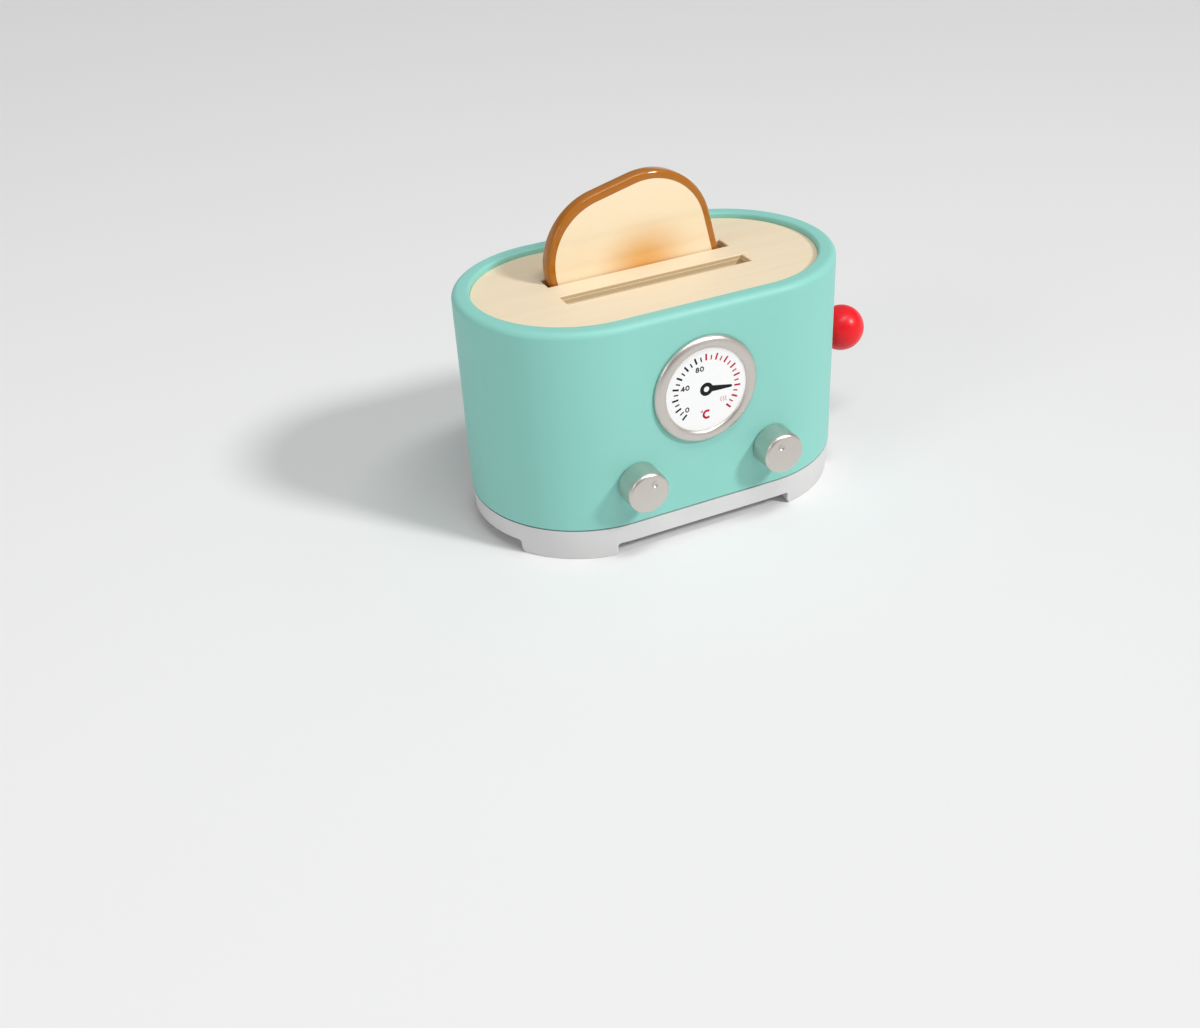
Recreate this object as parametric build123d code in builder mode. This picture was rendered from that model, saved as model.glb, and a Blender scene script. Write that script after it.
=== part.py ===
"""Toy pop-up toaster: housing, plywood top, base, dial, knobs, lever carriage, electrics and toast.

Millimetres, +Z up. X runs along the toaster with the lever at +X, and the dial faces -Y.
The origin is at the bottom centre of the whole toy's box. The housing's own centre line stands a
little to -X and +Y of it, because the lever ball and the knobs stick out on one side only.
"""

import os
from math import cos, radians, sin

from build123d import *

# Body
body_width = 119.0
end_room = 14.0
rim_height = 124.0
base_height = 17.4
wall = 3.0
draft_inset = 1.0

# Rolled rim and the ledge that carries the top plate
rim_width = 9.0
rim_outer_radius = 3.4
rim_inner_radius = 1.5
rim_core_wall = 3.0
rim_roof = 4.0
ledge_width = 3.0
ledge_thickness = 3.0
plate_fit = 0.15

# Top plate and bread slots
plate_drop = 3.0
plate_thickness = 8.0
slot_end_room = 4.5
slot_side_play = 1.0
slot_edge_chamfer = 0.4
slot_offset = 11.7

# Plate screws
plate_ear_radius = 6.0
plate_ear_reach = 3.5
plate_ear_angle = 45.0

# Toast
toast_width = 92.0
toast_height = 90.0
toast_thickness = 8.0
toast_top_radius = 35.5
toast_foot_radius = 4.0
toast_edge_radius = 1.4
toast_tilt = 13.5
toast_arch_x = -4.15

# Lever
lever_height = 61.3
lever_radius = 2.95
lever_fit = 0.05
lever_slot_clearance = 0.65
ball_radius = 12.5
ball_gap = 5.3
ball_socket = 14.0

# Knobs
knob_radius = 10.8
knob_reach = 14.6
knob_spacing = 75.4
knob_height = 40.6
knob_gap = 0.4
knob_crown = 0.7
knob_edge_radius = 1.8
knob_face_flat = 8.6
knob_stem_radius = 4.0
knob_fit = 0.05
knob_collar_radius = 7.0
knob_collar_length = 3.0
knob_end_play = 0.3
knob_washer_radius = 8.0
knob_washer_thickness = 1.5
knob_dimple_radius = 1.5
knob_dimple_offset = 5.8
knob_dimple_depth = 0.8
left_dimple_angle = 66.0
right_dimple_angle = 117.0

# Dial
dial_height = 81.8
dial_radius = 27.9
dial_window_radius = 21.9
dial_raise = 3.0
dial_outer_round = 1.9
dial_inner_round = 1.2
dial_spigot_radius = 25.0
dial_fit = 0.15
dial_bead = 0.55
dial_bead_height = 1.2
dial_face_radius = 22.8
dial_face_thickness = 1.2
dial_lip = 1.4
dial_back_thickness = 1.6

# Base and feet
floor_height = 7.1
floor_thickness = 2.5
foot_width = 12.0
foot_front_run = 50.7
foot_end_run = 28.5
notch_radius = 1.6
foot_corner_radius = 2.6
lip_height = 3.0
lip_thickness = 2.0
lip_clearance = 0.2
joint_chamfer = 0.4

# Base screws
base_screw_angle = 70.0
boss_radius = 4.8
boss_merge = 1.0
boss_height = 28.0
screw_radius = 1.3
screw_length = 18.0
screw_head_radius = 2.7
screw_head_height = 1.6
screw_tip_gap = 1.0
pilot_fit = 0.05
clearance_hole_radius = 1.6
counterbore_radius = 3.3
counterbore_depth = 9.0

# Bread chute
chute_wall = 2.0
chute_end_margin = 4.5
chute_side_margin = 1.0
chute_flange = 2.3
chute_flange_margin = 5.0
chute_side_flange = 7.5
chute_screw_inset = 9.0
rod_shelf_margin = 2.0
rod_shelf_thickness = 6.0
rod_shelf_drop = 3.0

# Bread racks
rack_side_clearance = 1.5
rack_thickness = 3.0
rack_slot_width = 3.0
rack_slot_count = 4
rack_end_clearance = 2.0
rack_tongue_width = 6.0
rack_tongue_clearance = 0.7
rack_run_out = 3.25
rest_gap = 0.3

# Carriage
carriage_gap = 5.0
carriage_length = 24.0
carriage_top_cover = 5.7
carriage_under_lever = 8.4
carriage_side_cover = 7.0
carriage_socket = 12.0
rack_cover = 2.7
landing_gap = 0.95
tongue_seat = 10.0
tongue_fit = 0.2
arch_side_gap = 1.5
arch_height = 5.5

# Guide rods and return springs
rod_inset = 17.0
rod_spacing = 26.0
rod_radius = 2.5
rod_running_fit = 0.08
rod_seat_height = 4.4
rod_seat_wall = 2.6
rod_seat_fit = 0.02
spring_wire = 0.8
spring_radius = 3.3
spring_turns = 6
spring_pocket_depth = 10.0
spring_pocket_radius = 4.3

# Holding magnet
magnet_length = 14.0
magnet_width = 13.0
magnet_plate = 1.5
magnet_core_radius = 2.3
coil_radius = 5.2
coil_flange = 0.8
armature_thickness = 2.0
armature_gap = 0.3
contact_width = 3.0
contact_thickness = 0.5
contact_block_height = 4.0

# Battery bay
bay_inside_length = 54.0
bay_inside_width = 23.0
bay_inside_height = 11.5
bay_wall = 2.0
door_end_margin = 6.0
door_side_margin = 2.0
door_thickness = 1.8
door_gap = 0.3
door_corner = 3.0
door_screw_radius = 1.2
door_screw_length = 7.0
door_boss_radius = 4.0
cell_pitch = 11.2
cell_spring_radius = 2.8
cell_spring_length = 6.0
cell_spring_turns = 3
cell_plate_size = 8.0
cell_plate_thickness = 0.6

# Circuit board and speaker
speaker_radius = 17.5
speaker_height = 6.4
speaker_rib = 1.5
speaker_fit = 0.2
speaker_hole_radius = 1.3
speaker_hole_circle = 8.0
speaker_hole_count = 8
board_gap = 2.0
board_length = 40.0
board_width = 44.0
board_height = 20.0
board_thickness = 1.6
board_screw_inset = 2.5
board_post_radius = 2.6
board_screw_radius = 1.0
board_screw_length = 6.0
board_screw_head_radius = 2.2
chip_size = 8.0
chip_height = 1.6
chip_pitch = 14.0
connector_length = 10.0
connector_width = 5.0
connector_height = 3.0
capacitor_width = 4.4
capacitor_height = 3.6

# Bread slots, chute and carriage, worked out from the toast, and the body's length from them
slot_length = toast_width + 2 * slot_end_room
slot_width = toast_thickness + 2 * slot_side_play
bay_length = slot_length + 2 * chute_end_margin
bay_width = slot_width + 2 * chute_side_margin
chute_length = bay_length + 2 * chute_wall
chute_width = 2 * (slot_offset + bay_width / 2 + chute_wall)
rack_width = bay_width - 2 * rack_side_clearance
carriage_start = chute_length / 2 + carriage_gap
carriage_end = carriage_start + carriage_length
carriage_x = (carriage_start + carriage_end) / 2
carriage_width = rod_spacing + 2 * carriage_side_cover
rod_x = carriage_start + rod_inset
body_length = 2 * (carriage_end + end_room)

# Places worked out from the sizes above
lever_reach = ball_gap + 2 * ball_radius
body_x = -lever_reach / 2
body_y = knob_reach / 2
ball_x = body_length / 2 + ball_gap + ball_radius
plate_top = rim_height - plate_drop
plate_bottom = plate_top - plate_thickness
ledge_bottom = plate_bottom - ledge_thickness
front = -body_width / 2
end_radius = body_width / 2
end_centre = body_length / 2 - end_radius
front_notch = body_length - 2 * foot_front_run
end_notch = body_width - 2 * foot_end_run
floor_top = floor_height + floor_thickness
rod_seat_top = floor_top + rod_seat_height
carriage_top = lever_height + lever_radius + carriage_top_cover
carriage_bottom = lever_height - lever_radius - carriage_under_lever
carriage_height = carriage_top - carriage_bottom
lever_travel = carriage_bottom - rod_seat_top - landing_gap
armature_top = carriage_bottom + arch_height
magnet_top = armature_top - armature_thickness - lever_travel - armature_gap
arch_width = magnet_width + 2 * arch_side_gap
rack_top = carriage_top - rack_cover
rack_bottom = rack_top - rack_thickness
chute_bottom = rack_bottom - lever_travel - rack_run_out
rod_shelf_top = plate_bottom - rod_shelf_drop
rod_shelf_length = carriage_end + rod_shelf_margin - chute_length / 2
door_seat = floor_height + door_thickness
bay_roof = door_seat + bay_inside_height
door_screw_x = bay_inside_length / 2 + bay_wall + door_boss_radius
door_length = 2 * (door_screw_x + door_end_margin)
door_width = bay_inside_width + 2 * door_side_margin
board_x = -(door_length / 2 + bay_wall + board_gap + board_length / 2)
speaker_x = board_x

# The toast stands on its lower corner, on the rear rack
toast_corner_x = toast_width / 2 - toast_foot_radius
toast_drop = toast_height / 2 - toast_top_radius
toast_x = toast_arch_x + toast_drop * sin(radians(toast_tilt))
toast_z = (
    rack_top
    + rest_gap
    + toast_foot_radius
    + (toast_height / 2 - toast_foot_radius) * cos(radians(toast_tilt))
    + toast_corner_x * sin(radians(toast_tilt))
)


def point(x, y, z):
    """A place given from the housing's centre line and the ground."""
    return (body_x + x, body_y + y, z)


def level(z):
    """A level plane centred on the housing."""
    return Plane(point(0, 0, z))


def upward(x, y, z):
    """A level plane at a place, facing up."""
    return Plane(point(x, y, z), x_dir=(1, 0, 0), z_dir=(0, 0, 1))


def downward(x, y, z):
    """A level plane at a place, facing down."""
    return Plane(point(x, y, z), x_dir=(1, 0, 0), z_dir=(0, 0, -1))


def facing(x, y, z):
    """An upright plane that faces the front, with its own y pointing up."""
    return Plane(point(x, y, z), x_dir=(1, 0, 0), z_dir=(0, -1, 0))


def endwise(x, y, z, side=1):
    """An upright plane that faces an end, the lever's when side is 1."""
    return Plane(point(x, y, z), x_dir=(0, 1, 0), z_dir=(side, 0, 0))


def front_axis(x, z):
    """The axis of a round piece on the front."""
    return Axis(point(x, 0, z), (0, 1, 0))


def outline(inset):
    """The toaster's outline seen from above, set in by a distance."""
    return SlotOverall(body_length - 2 * inset, body_width - 2 * inset)


def add_screw(place, head_radius, head_height, shank_radius, length):
    """Add a screw to the open part, with its head behind the place and its shank ahead of it."""
    with Locations(place):
        Cylinder(shank_radius, length, align=(Align.CENTER, Align.CENTER, Align.MIN))
        Cylinder(head_radius, head_height, align=(Align.CENTER, Align.CENTER, Align.MAX))


def save(piece, name):
    """Label a finished piece and write its file."""
    piece.part.label = name
    export_step(piece.part, f"parts/{name}.step")


def corners(x, y, middle_x=0):
    """The four corners of a rectangle, half its length and half its width given."""
    return [(middle_x + side_x * x, side_y * y) for side_x in (-1, 1) for side_y in (-1, 1)]


def corners_by_angle(distance, angle):
    """Four places round the end centres, at a distance from them and an angle from the long axis."""
    return corners(end_centre + distance * cos(radians(angle)), distance * sin(radians(angle)))


os.makedirs("parts", exist_ok=True)

knob_places = (-knob_spacing / 2, knob_spacing / 2)
rod_places = (-rod_spacing / 2, rod_spacing / 2)
slot_places = (-slot_offset, slot_offset)
rod_seat_places = [(rod_x, y) for y in rod_places]
base_screw_places = corners_by_angle(end_radius - wall - boss_radius + boss_merge, base_screw_angle)
ear_places = corners_by_angle(end_radius - rim_width - ledge_width - plate_ear_reach, plate_ear_angle)

# Housing: a stadium-shaped shell with a rolled rim
with BuildPart() as housing:
    with BuildSketch(level(base_height)):
        outline(0)
    extrude(amount=rim_height - base_height)
    fillet(housing.edges().group_by(Axis.Z)[-1], rim_outer_radius)
    with BuildSketch(level(plate_bottom)):
        outline(rim_width)
    extrude(amount=rim_height - plate_bottom, mode=Mode.SUBTRACT)
    with BuildSketch(level(base_height)):
        outline(rim_width + ledge_width)
    extrude(amount=plate_bottom - base_height, mode=Mode.SUBTRACT)
    with BuildSketch(level(base_height)):
        outline(wall)
    extrude(amount=ledge_bottom - base_height, mode=Mode.SUBTRACT)
    with BuildSketch(level(ledge_bottom)):
        outline(wall)
        offset(amount=rim_core_wall + wall - rim_width, mode=Mode.SUBTRACT)
    extrude(amount=rim_height - rim_roof - ledge_bottom, mode=Mode.SUBTRACT)
    rim_crown = housing.faces().sort_by(Axis.Z)[-1]
    fillet(rim_crown.inner_wires()[0].edges(), rim_inner_radius)
    chamfer(housing.faces().sort_by(Axis.Z)[0].outer_wire().edges(), joint_chamfer)
    # ears under the ledge for the plate screws
    with BuildSketch(level(ledge_bottom)):
        with Locations(*ear_places):
            Circle(plate_ear_radius)
    extrude(amount=ledge_thickness)
    with BuildSketch(level(ledge_bottom)):
        with Locations(*ear_places):
            Circle(clearance_hole_radius)
    extrude(amount=ledge_thickness, mode=Mode.SUBTRACT)
    # posts for the base screws
    with BuildSketch(level(base_height)):
        with Locations(*base_screw_places):
            Circle(boss_radius)
    extrude(amount=boss_height)
    with BuildSketch(level(base_height)):
        with Locations(*base_screw_places):
            Circle(screw_radius + pilot_fit)
    extrude(amount=boss_height - wall, mode=Mode.SUBTRACT)
    # dial hole
    with BuildSketch(facing(0, front, dial_height)):
        Circle(dial_spigot_radius + dial_fit)
    extrude(amount=-wall, mode=Mode.SUBTRACT)
    # knob bearings
    for knob_x in knob_places:
        with BuildSketch(facing(knob_x, front + wall, knob_height)):
            Circle(knob_collar_radius)
        extrude(amount=-knob_collar_length)
        with BuildSketch(facing(knob_x, front, knob_height)):
            Circle(knob_stem_radius + knob_fit)
        extrude(amount=-(wall + knob_collar_length), mode=Mode.SUBTRACT)
    # lever slot in the end wall
    lever_slot_width = 2 * (lever_radius + lever_slot_clearance)
    lever_slot_height = lever_travel + lever_slot_width
    with BuildSketch(endwise(body_length / 2, 0, lever_height - lever_travel / 2)):
        SlotOverall(lever_slot_height, lever_slot_width, rotation=90)
    extrude(amount=-2 * wall, mode=Mode.SUBTRACT)
save(housing, "housing")

# Top plate: plywood with two bread slots
chute_screw_x = chute_length / 2 - chute_screw_inset
chute_screw_y = chute_width / 2 + chute_side_flange / 2
chute_screw_places = corners(chute_screw_x, chute_screw_y)
plate_pilot_depth = plate_thickness - plate_drop / 2
with BuildPart() as top_plate:
    with BuildSketch(level(plate_bottom)):
        outline(rim_width + plate_fit)
        with Locations(*[(0, y) for y in slot_places]):
            Rectangle(slot_length, slot_width, mode=Mode.SUBTRACT)
    extrude(amount=plate_thickness)
    slot_rims = top_plate.faces().sort_by(Axis.Z)[-1].inner_wires()
    chamfer(slot_rims.edges(), slot_edge_chamfer)
    with BuildSketch(level(plate_bottom)):
        with Locations(*ear_places, *chute_screw_places):
            Circle(screw_radius + pilot_fit)
    extrude(amount=plate_pilot_depth, mode=Mode.SUBTRACT)
save(top_plate, "top_plate")

plate_screw_length = ledge_thickness + plate_pilot_depth - screw_tip_gap
with BuildPart() as plate_screws:
    for x, y in ear_places:
        add_screw(
            upward(x, y, ledge_bottom),
            screw_head_radius,
            screw_head_height,
            screw_radius,
            plate_screw_length,
        )
save(plate_screws, "plate_screws")

# Bread chute: two bays that hang under the slots, with a shelf that holds the guide rods
with BuildPart() as bread_chute:
    with BuildSketch(level(chute_bottom)):
        Rectangle(chute_length, chute_width)
    extrude(amount=plate_bottom - chute_bottom)
    with BuildSketch(level(plate_bottom - chute_flange)):
        RectangleRounded(
            chute_length + 2 * chute_flange_margin,
            chute_width + 2 * chute_side_flange,
            chute_flange_margin,
        )
    extrude(amount=chute_flange)
    with BuildSketch(level(rod_shelf_top - rod_shelf_thickness)):
        with Locations((chute_length / 2 + rod_shelf_length / 2, 0)):
            Rectangle(rod_shelf_length, chute_width)
    extrude(amount=rod_shelf_thickness)
    fillet(bread_chute.edges().filter_by(Axis.Z).group_by(Axis.X)[-1], chute_flange_margin)
    with BuildSketch(level(chute_bottom)):
        with Locations(*[(0, y) for y in slot_places]):
            Rectangle(bay_length, bay_width)
    extrude(amount=plate_bottom - chute_bottom, mode=Mode.SUBTRACT)
    # core between the bays
    with BuildSketch(level(chute_bottom)):
        Rectangle(bay_length, 2 * slot_offset - bay_width - 2 * chute_wall)
    extrude(amount=plate_bottom - chute_flange - chute_bottom, mode=Mode.SUBTRACT)
    # ways for the rack tongues in the lever end
    tongue_way_height = rack_top + rest_gap - chute_bottom
    with BuildSketch(level(chute_bottom)):
        for bay_y in slot_places:
            with Locations((chute_length / 2 - chute_wall / 2, bay_y)):
                Rectangle(2 * chute_wall, rack_tongue_width + 2 * rack_tongue_clearance)
    extrude(amount=tongue_way_height, mode=Mode.SUBTRACT)
    with BuildSketch(level(rod_shelf_top - rod_shelf_thickness)):
        with Locations(*rod_seat_places):
            Circle(rod_radius + rod_seat_fit)
    extrude(amount=rod_shelf_thickness, mode=Mode.SUBTRACT)
    with BuildSketch(level(plate_bottom - chute_flange)):
        with Locations(*chute_screw_places):
            Circle(clearance_hole_radius)
    extrude(amount=chute_flange, mode=Mode.SUBTRACT)
save(bread_chute, "bread_chute")

chute_screw_length = chute_flange + plate_pilot_depth - screw_tip_gap
with BuildPart() as chute_screws:
    for x, y in chute_screw_places:
        add_screw(
            upward(x, y, plate_bottom - chute_flange),
            screw_head_radius,
            screw_head_height,
            screw_radius,
            chute_screw_length,
        )
save(chute_screws, "chute_screws")

# Base: tray with four corner feet, battery bay, rod seats and posts
board_post_x = board_length / 2 - board_screw_inset
board_post_y = board_width / 2 - board_screw_inset
board_post_places = corners(board_post_x, board_post_y, board_x)
door_screw_places = [(-door_screw_x, 0), (door_screw_x, 0)]
with BuildPart() as base:
    with BuildSketch(level(0)):
        outline(draft_inset)
    with BuildSketch(level(base_height)):
        outline(0)
    loft()
    chamfer(base.edges().group_by(Axis.Z)[-1], joint_chamfer)
    with BuildSketch(level(floor_top)):
        outline(wall)
    extrude(amount=base_height - floor_top, mode=Mode.SUBTRACT)
    with BuildSketch(level(0)):
        outline(draft_inset + foot_width)
    extrude(amount=floor_height, mode=Mode.SUBTRACT)
    # notches leave a foot at each corner
    with BuildSketch(facing(0, 0, 0)):
        Rectangle(front_notch, 2 * floor_height)
        fillet(vertices().group_by(Axis.Y)[-1], notch_radius)
    extrude(amount=body_width, both=True, mode=Mode.SUBTRACT)
    with BuildSketch(endwise(0, 0, 0)):
        Rectangle(end_notch, 2 * floor_height)
        fillet(vertices().group_by(Axis.Y)[-1], notch_radius)
    extrude(amount=body_length, both=True, mode=Mode.SUBTRACT)
    foot_corners = base.edges().group_by(Axis.Z)[0].filter_by(GeomType.LINE)
    fillet(foot_corners, foot_corner_radius)
    # locating lip inside the housing
    with BuildSketch(level(base_height - lip_height)):
        outline(wall)
        offset(amount=-lip_thickness - lip_clearance, mode=Mode.SUBTRACT)
    extrude(amount=lip_height)
    with BuildSketch(level(base_height)):
        outline(wall + lip_clearance)
        offset(amount=-lip_thickness, mode=Mode.SUBTRACT)
        with Locations(*base_screw_places):
            Circle(boss_radius + lip_clearance, mode=Mode.SUBTRACT)
    extrude(amount=lip_height)
    # columns for the base screws
    with BuildSketch(level(floor_height)):
        with Locations(*base_screw_places):
            Circle(boss_radius)
    extrude(amount=base_height - floor_height)
    with BuildSketch(level(0)):
        with Locations(*base_screw_places):
            Circle(counterbore_radius)
    extrude(amount=counterbore_depth, mode=Mode.SUBTRACT)
    with BuildSketch(level(0)):
        with Locations(*base_screw_places):
            Circle(clearance_hole_radius)
    extrude(amount=base_height, mode=Mode.SUBTRACT)
    # rod seats
    with BuildSketch(level(floor_height)):
        with Locations(*rod_seat_places):
            Circle(rod_radius + rod_seat_wall)
    extrude(amount=rod_seat_top - floor_height)
    with BuildSketch(level(floor_top)):
        with Locations(*rod_seat_places):
            Circle(rod_radius + rod_seat_fit)
    extrude(amount=rod_seat_height, mode=Mode.SUBTRACT)
    # battery bay
    with BuildSketch(level(floor_height)):
        Rectangle(bay_inside_length + 2 * bay_wall, bay_inside_width + 2 * bay_wall)
    extrude(amount=bay_roof + bay_wall - floor_height)
    with BuildSketch(level(floor_height)):
        with Locations(*door_screw_places):
            Circle(door_boss_radius)
    extrude(amount=door_screw_length + bay_wall + door_thickness)
    with BuildSketch(level(floor_height)):
        RectangleRounded(door_length + 2 * bay_wall, door_width + 2 * bay_wall, door_corner)
    extrude(amount=door_thickness + bay_wall)
    with BuildSketch(level(floor_height)):
        RectangleRounded(door_length, door_width, door_corner)
    extrude(amount=door_thickness, mode=Mode.SUBTRACT)
    with BuildSketch(level(floor_height)):
        Rectangle(bay_inside_length, bay_inside_width)
    extrude(amount=bay_roof - floor_height, mode=Mode.SUBTRACT)
    with BuildSketch(level(door_seat)):
        with Locations(*door_screw_places):
            Circle(door_screw_radius + pilot_fit)
    extrude(amount=door_screw_length, mode=Mode.SUBTRACT)
    # board posts
    with BuildSketch(level(floor_height)):
        with Locations(*board_post_places):
            Circle(board_post_radius)
    extrude(amount=board_height - floor_height)
    with BuildSketch(level(floor_top)):
        with Locations(*board_post_places):
            Circle(board_screw_radius + pilot_fit)
    extrude(amount=board_height - floor_top, mode=Mode.SUBTRACT)
    # speaker ring and its sound holes
    with BuildSketch(level(floor_top)):
        with Locations((speaker_x, 0)):
            Circle(speaker_radius + speaker_fit + speaker_rib)
            Circle(speaker_radius + speaker_fit, mode=Mode.SUBTRACT)
    extrude(amount=speaker_height / 2)
    with BuildSketch(level(floor_height)):
        with Locations((speaker_x, 0)):
            Circle(speaker_hole_radius)
            with PolarLocations(speaker_hole_circle, speaker_hole_count):
                Circle(speaker_hole_radius)
    extrude(amount=floor_thickness, mode=Mode.SUBTRACT)
save(base, "base")

with BuildPart() as base_screws:
    for x, y in base_screw_places:
        add_screw(
            upward(x, y, counterbore_depth),
            screw_head_radius,
            screw_head_height,
            screw_radius,
            screw_length,
        )
save(base_screws, "base_screws")

# Dial: bezel that snaps into the front wall, printed face and backing disc
with BuildPart() as dial_bezel:
    with BuildSketch(upward(0, front, dial_height)):
        with BuildLine():
            Polyline(
                (dial_window_radius, -dial_lip),
                (dial_window_radius, -dial_raise),
                (dial_radius, -dial_raise),
                (dial_radius, 0),
                (dial_spigot_radius, 0),
                (dial_spigot_radius, wall + dial_fit),
                (dial_spigot_radius + dial_bead, wall + dial_fit + dial_bead_height / 2),
                (dial_spigot_radius, wall + dial_fit + dial_bead_height),
                (dial_face_radius, wall + dial_fit + dial_bead_height),
                (dial_face_radius, -dial_lip),
                close=True,
            )
        make_face()
        fillet(vertices().group_by(Axis.Y)[0].sort_by(Axis.X)[-1], dial_outer_round)
        fillet(vertices().group_by(Axis.Y)[0].sort_by(Axis.X)[0], dial_inner_round)
    revolve(axis=front_axis(0, dial_height))
save(dial_bezel, "dial_bezel")

with BuildPart() as dial_face:
    with BuildSketch(facing(0, front - dial_lip, dial_height)):
        Circle(dial_face_radius - dial_fit)
    extrude(amount=-dial_face_thickness)
save(dial_face, "dial_face")

dial_back_y = front - dial_lip + dial_face_thickness
with BuildPart() as dial_back:
    with BuildSketch(facing(0, dial_back_y, dial_height)):
        Circle(dial_face_radius - dial_fit)
    extrude(amount=-dial_back_thickness)
    with BuildSketch(facing(0, dial_back_y + dial_back_thickness, dial_height)):
        Circle(dial_face_radius - dial_fit)
        Circle(dial_face_radius - wall, mode=Mode.SUBTRACT)
    extrude(amount=-dial_back_thickness)
save(dial_back, "dial_back")


# Knobs: cap with a stem through the front wall, kept by a washer and a screw
stem_end = wall + knob_collar_length + knob_end_play


def make_knob(knob_x, dimple_angle):
    """A turned knob with a crowned face, a rounded edge and a dimple that marks its setting."""
    with BuildPart() as knob:
        with BuildSketch(upward(knob_x, front, knob_height)):
            with BuildLine():
                edge_line = Polyline(
                    (0, stem_end),
                    (knob_stem_radius, stem_end),
                    (knob_stem_radius, -knob_gap),
                    (knob_radius, -knob_gap),
                    (knob_radius, -(knob_reach - knob_crown - knob_edge_radius)),
                )
                shoulder = TangentArc(
                    edge_line @ 1,
                    (knob_face_flat, -(knob_reach - knob_crown)),
                    tangent=(0, -1),
                )
                crown = ThreePointArc(
                    shoulder @ 1,
                    (knob_face_flat / 2, -(knob_reach - knob_crown / 4)),
                    (0, -knob_reach),
                )
                Line(crown @ 1, edge_line @ 0)
            make_face()
        revolve(axis=front_axis(knob_x, knob_height))
        with BuildSketch(facing(knob_x, front + stem_end, knob_height)):
            Circle(board_screw_radius + pilot_fit)
        extrude(amount=knob_stem_radius * 2, mode=Mode.SUBTRACT)
        dimple_x = knob_x + knob_dimple_offset * cos(radians(dimple_angle))
        dimple_z = knob_height + knob_dimple_offset * sin(radians(dimple_angle))
        dimple_y = front - knob_reach - knob_dimple_radius + knob_dimple_depth + knob_crown / 2
        with Locations(point(dimple_x, dimple_y, dimple_z)):
            Sphere(knob_dimple_radius, mode=Mode.SUBTRACT)
    return knob


def make_knob_washer(knob_x):
    """The washer that keeps a knob's stem in its bearing."""
    with BuildPart() as washer:
        with BuildSketch(facing(knob_x, front + stem_end, knob_height)):
            Circle(knob_washer_radius)
            Circle(board_screw_radius + pilot_fit, mode=Mode.SUBTRACT)
        extrude(amount=-knob_washer_thickness)
    return washer


def make_knob_screw(knob_x):
    """The screw that holds a knob's washer, driven from inside."""
    with BuildPart() as screw:
        add_screw(
            facing(knob_x, front + stem_end + knob_washer_thickness, knob_height),
            screw_head_radius,
            screw_head_height,
            board_screw_radius,
            board_screw_length,
        )
    return screw


for side, knob_x, dimple_angle in (
    ("left", knob_places[0], left_dimple_angle),
    ("right", knob_places[1], right_dimple_angle),
):
    save(make_knob(knob_x, dimple_angle), f"{side}_knob")
    save(make_knob_washer(knob_x), f"{side}_knob_washer")
    save(make_knob_screw(knob_x), f"{side}_knob_screw")

# Guide rods
with BuildPart() as guide_rods:
    with BuildSketch(level(floor_top)):
        with Locations(*rod_seat_places):
            Circle(rod_radius)
    extrude(amount=rod_shelf_top - floor_top)
save(guide_rods, "guide_rods")

# Carriage: slides on the rods, carries the racks and the lever
tongue_end = carriage_start + tongue_seat
rack_screw_x = carriage_start + tongue_seat / 2
with BuildPart() as carriage:
    with BuildSketch(level(carriage_bottom)):
        with Locations((carriage_x, 0)):
            RectangleRounded(carriage_length, carriage_width, chute_wall)
    extrude(amount=carriage_height)
    # arch over the holding magnet
    with BuildSketch(level(carriage_bottom)):
        with Locations((carriage_x, 0)):
            Rectangle(carriage_length, arch_width)
    extrude(amount=arch_height, mode=Mode.SUBTRACT)
    # seats for the rack tongues
    with BuildSketch(level(rack_bottom)):
        for bay_y in slot_places:
            with Locations((carriage_start + (tongue_seat + tongue_fit) / 2, bay_y)):
                Rectangle(tongue_seat + tongue_fit, rack_tongue_width + 2 * tongue_fit)
    extrude(amount=carriage_top - rack_bottom, mode=Mode.SUBTRACT)
    # bores for the rods, with pockets for the springs
    with BuildSketch(level(carriage_bottom)):
        with Locations(*rod_seat_places):
            Circle(rod_radius + rod_running_fit)
    extrude(amount=carriage_height, mode=Mode.SUBTRACT)
    with BuildSketch(level(carriage_bottom)):
        with Locations(*rod_seat_places):
            Circle(spring_pocket_radius)
    extrude(amount=spring_pocket_depth, mode=Mode.SUBTRACT)
    # socket for the lever
    with BuildSketch(endwise(carriage_end, 0, lever_height)):
        Circle(lever_radius + lever_fit)
    extrude(amount=-carriage_socket, mode=Mode.SUBTRACT)
    # pilot holes for the rack screws
    with BuildSketch(level(rack_bottom)):
        with Locations(*[(rack_screw_x, y) for y in slot_places]):
            Circle(board_screw_radius + pilot_fit)
    extrude(amount=-board_screw_length, mode=Mode.SUBTRACT)
save(carriage, "carriage")


def make_rack(bay_y):
    """A bread rack: a slim bar across one bay, with a tongue that sits in the carriage."""
    bar_end = bay_length / 2 - rack_end_clearance
    with BuildPart() as rack:
        with BuildSketch(level(rack_bottom)):
            with Locations((0, bay_y)):
                Rectangle(2 * bar_end, rack_width)
            with Locations(((bar_end + tongue_end) / 2, bay_y)):
                Rectangle(tongue_end - bar_end, rack_tongue_width)
        extrude(amount=rack_thickness)
        with BuildSketch(level(rack_bottom)):
            with Locations((rack_screw_x, bay_y)):
                Circle(board_screw_radius + pilot_fit)
        extrude(amount=rack_thickness, mode=Mode.SUBTRACT)
        # slots that lighten the bar
        slot_pitch = 2 * bar_end / rack_slot_count
        with BuildSketch(level(rack_bottom)):
            with Locations((0, bay_y)):
                with GridLocations(slot_pitch, 0, rack_slot_count, 1):
                    SlotOverall(slot_pitch - rack_width, rack_slot_width)
        extrude(amount=rack_thickness, mode=Mode.SUBTRACT)
    return rack


save(make_rack(slot_places[0]), "front_rack")
save(make_rack(slot_places[1]), "rear_rack")

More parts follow.
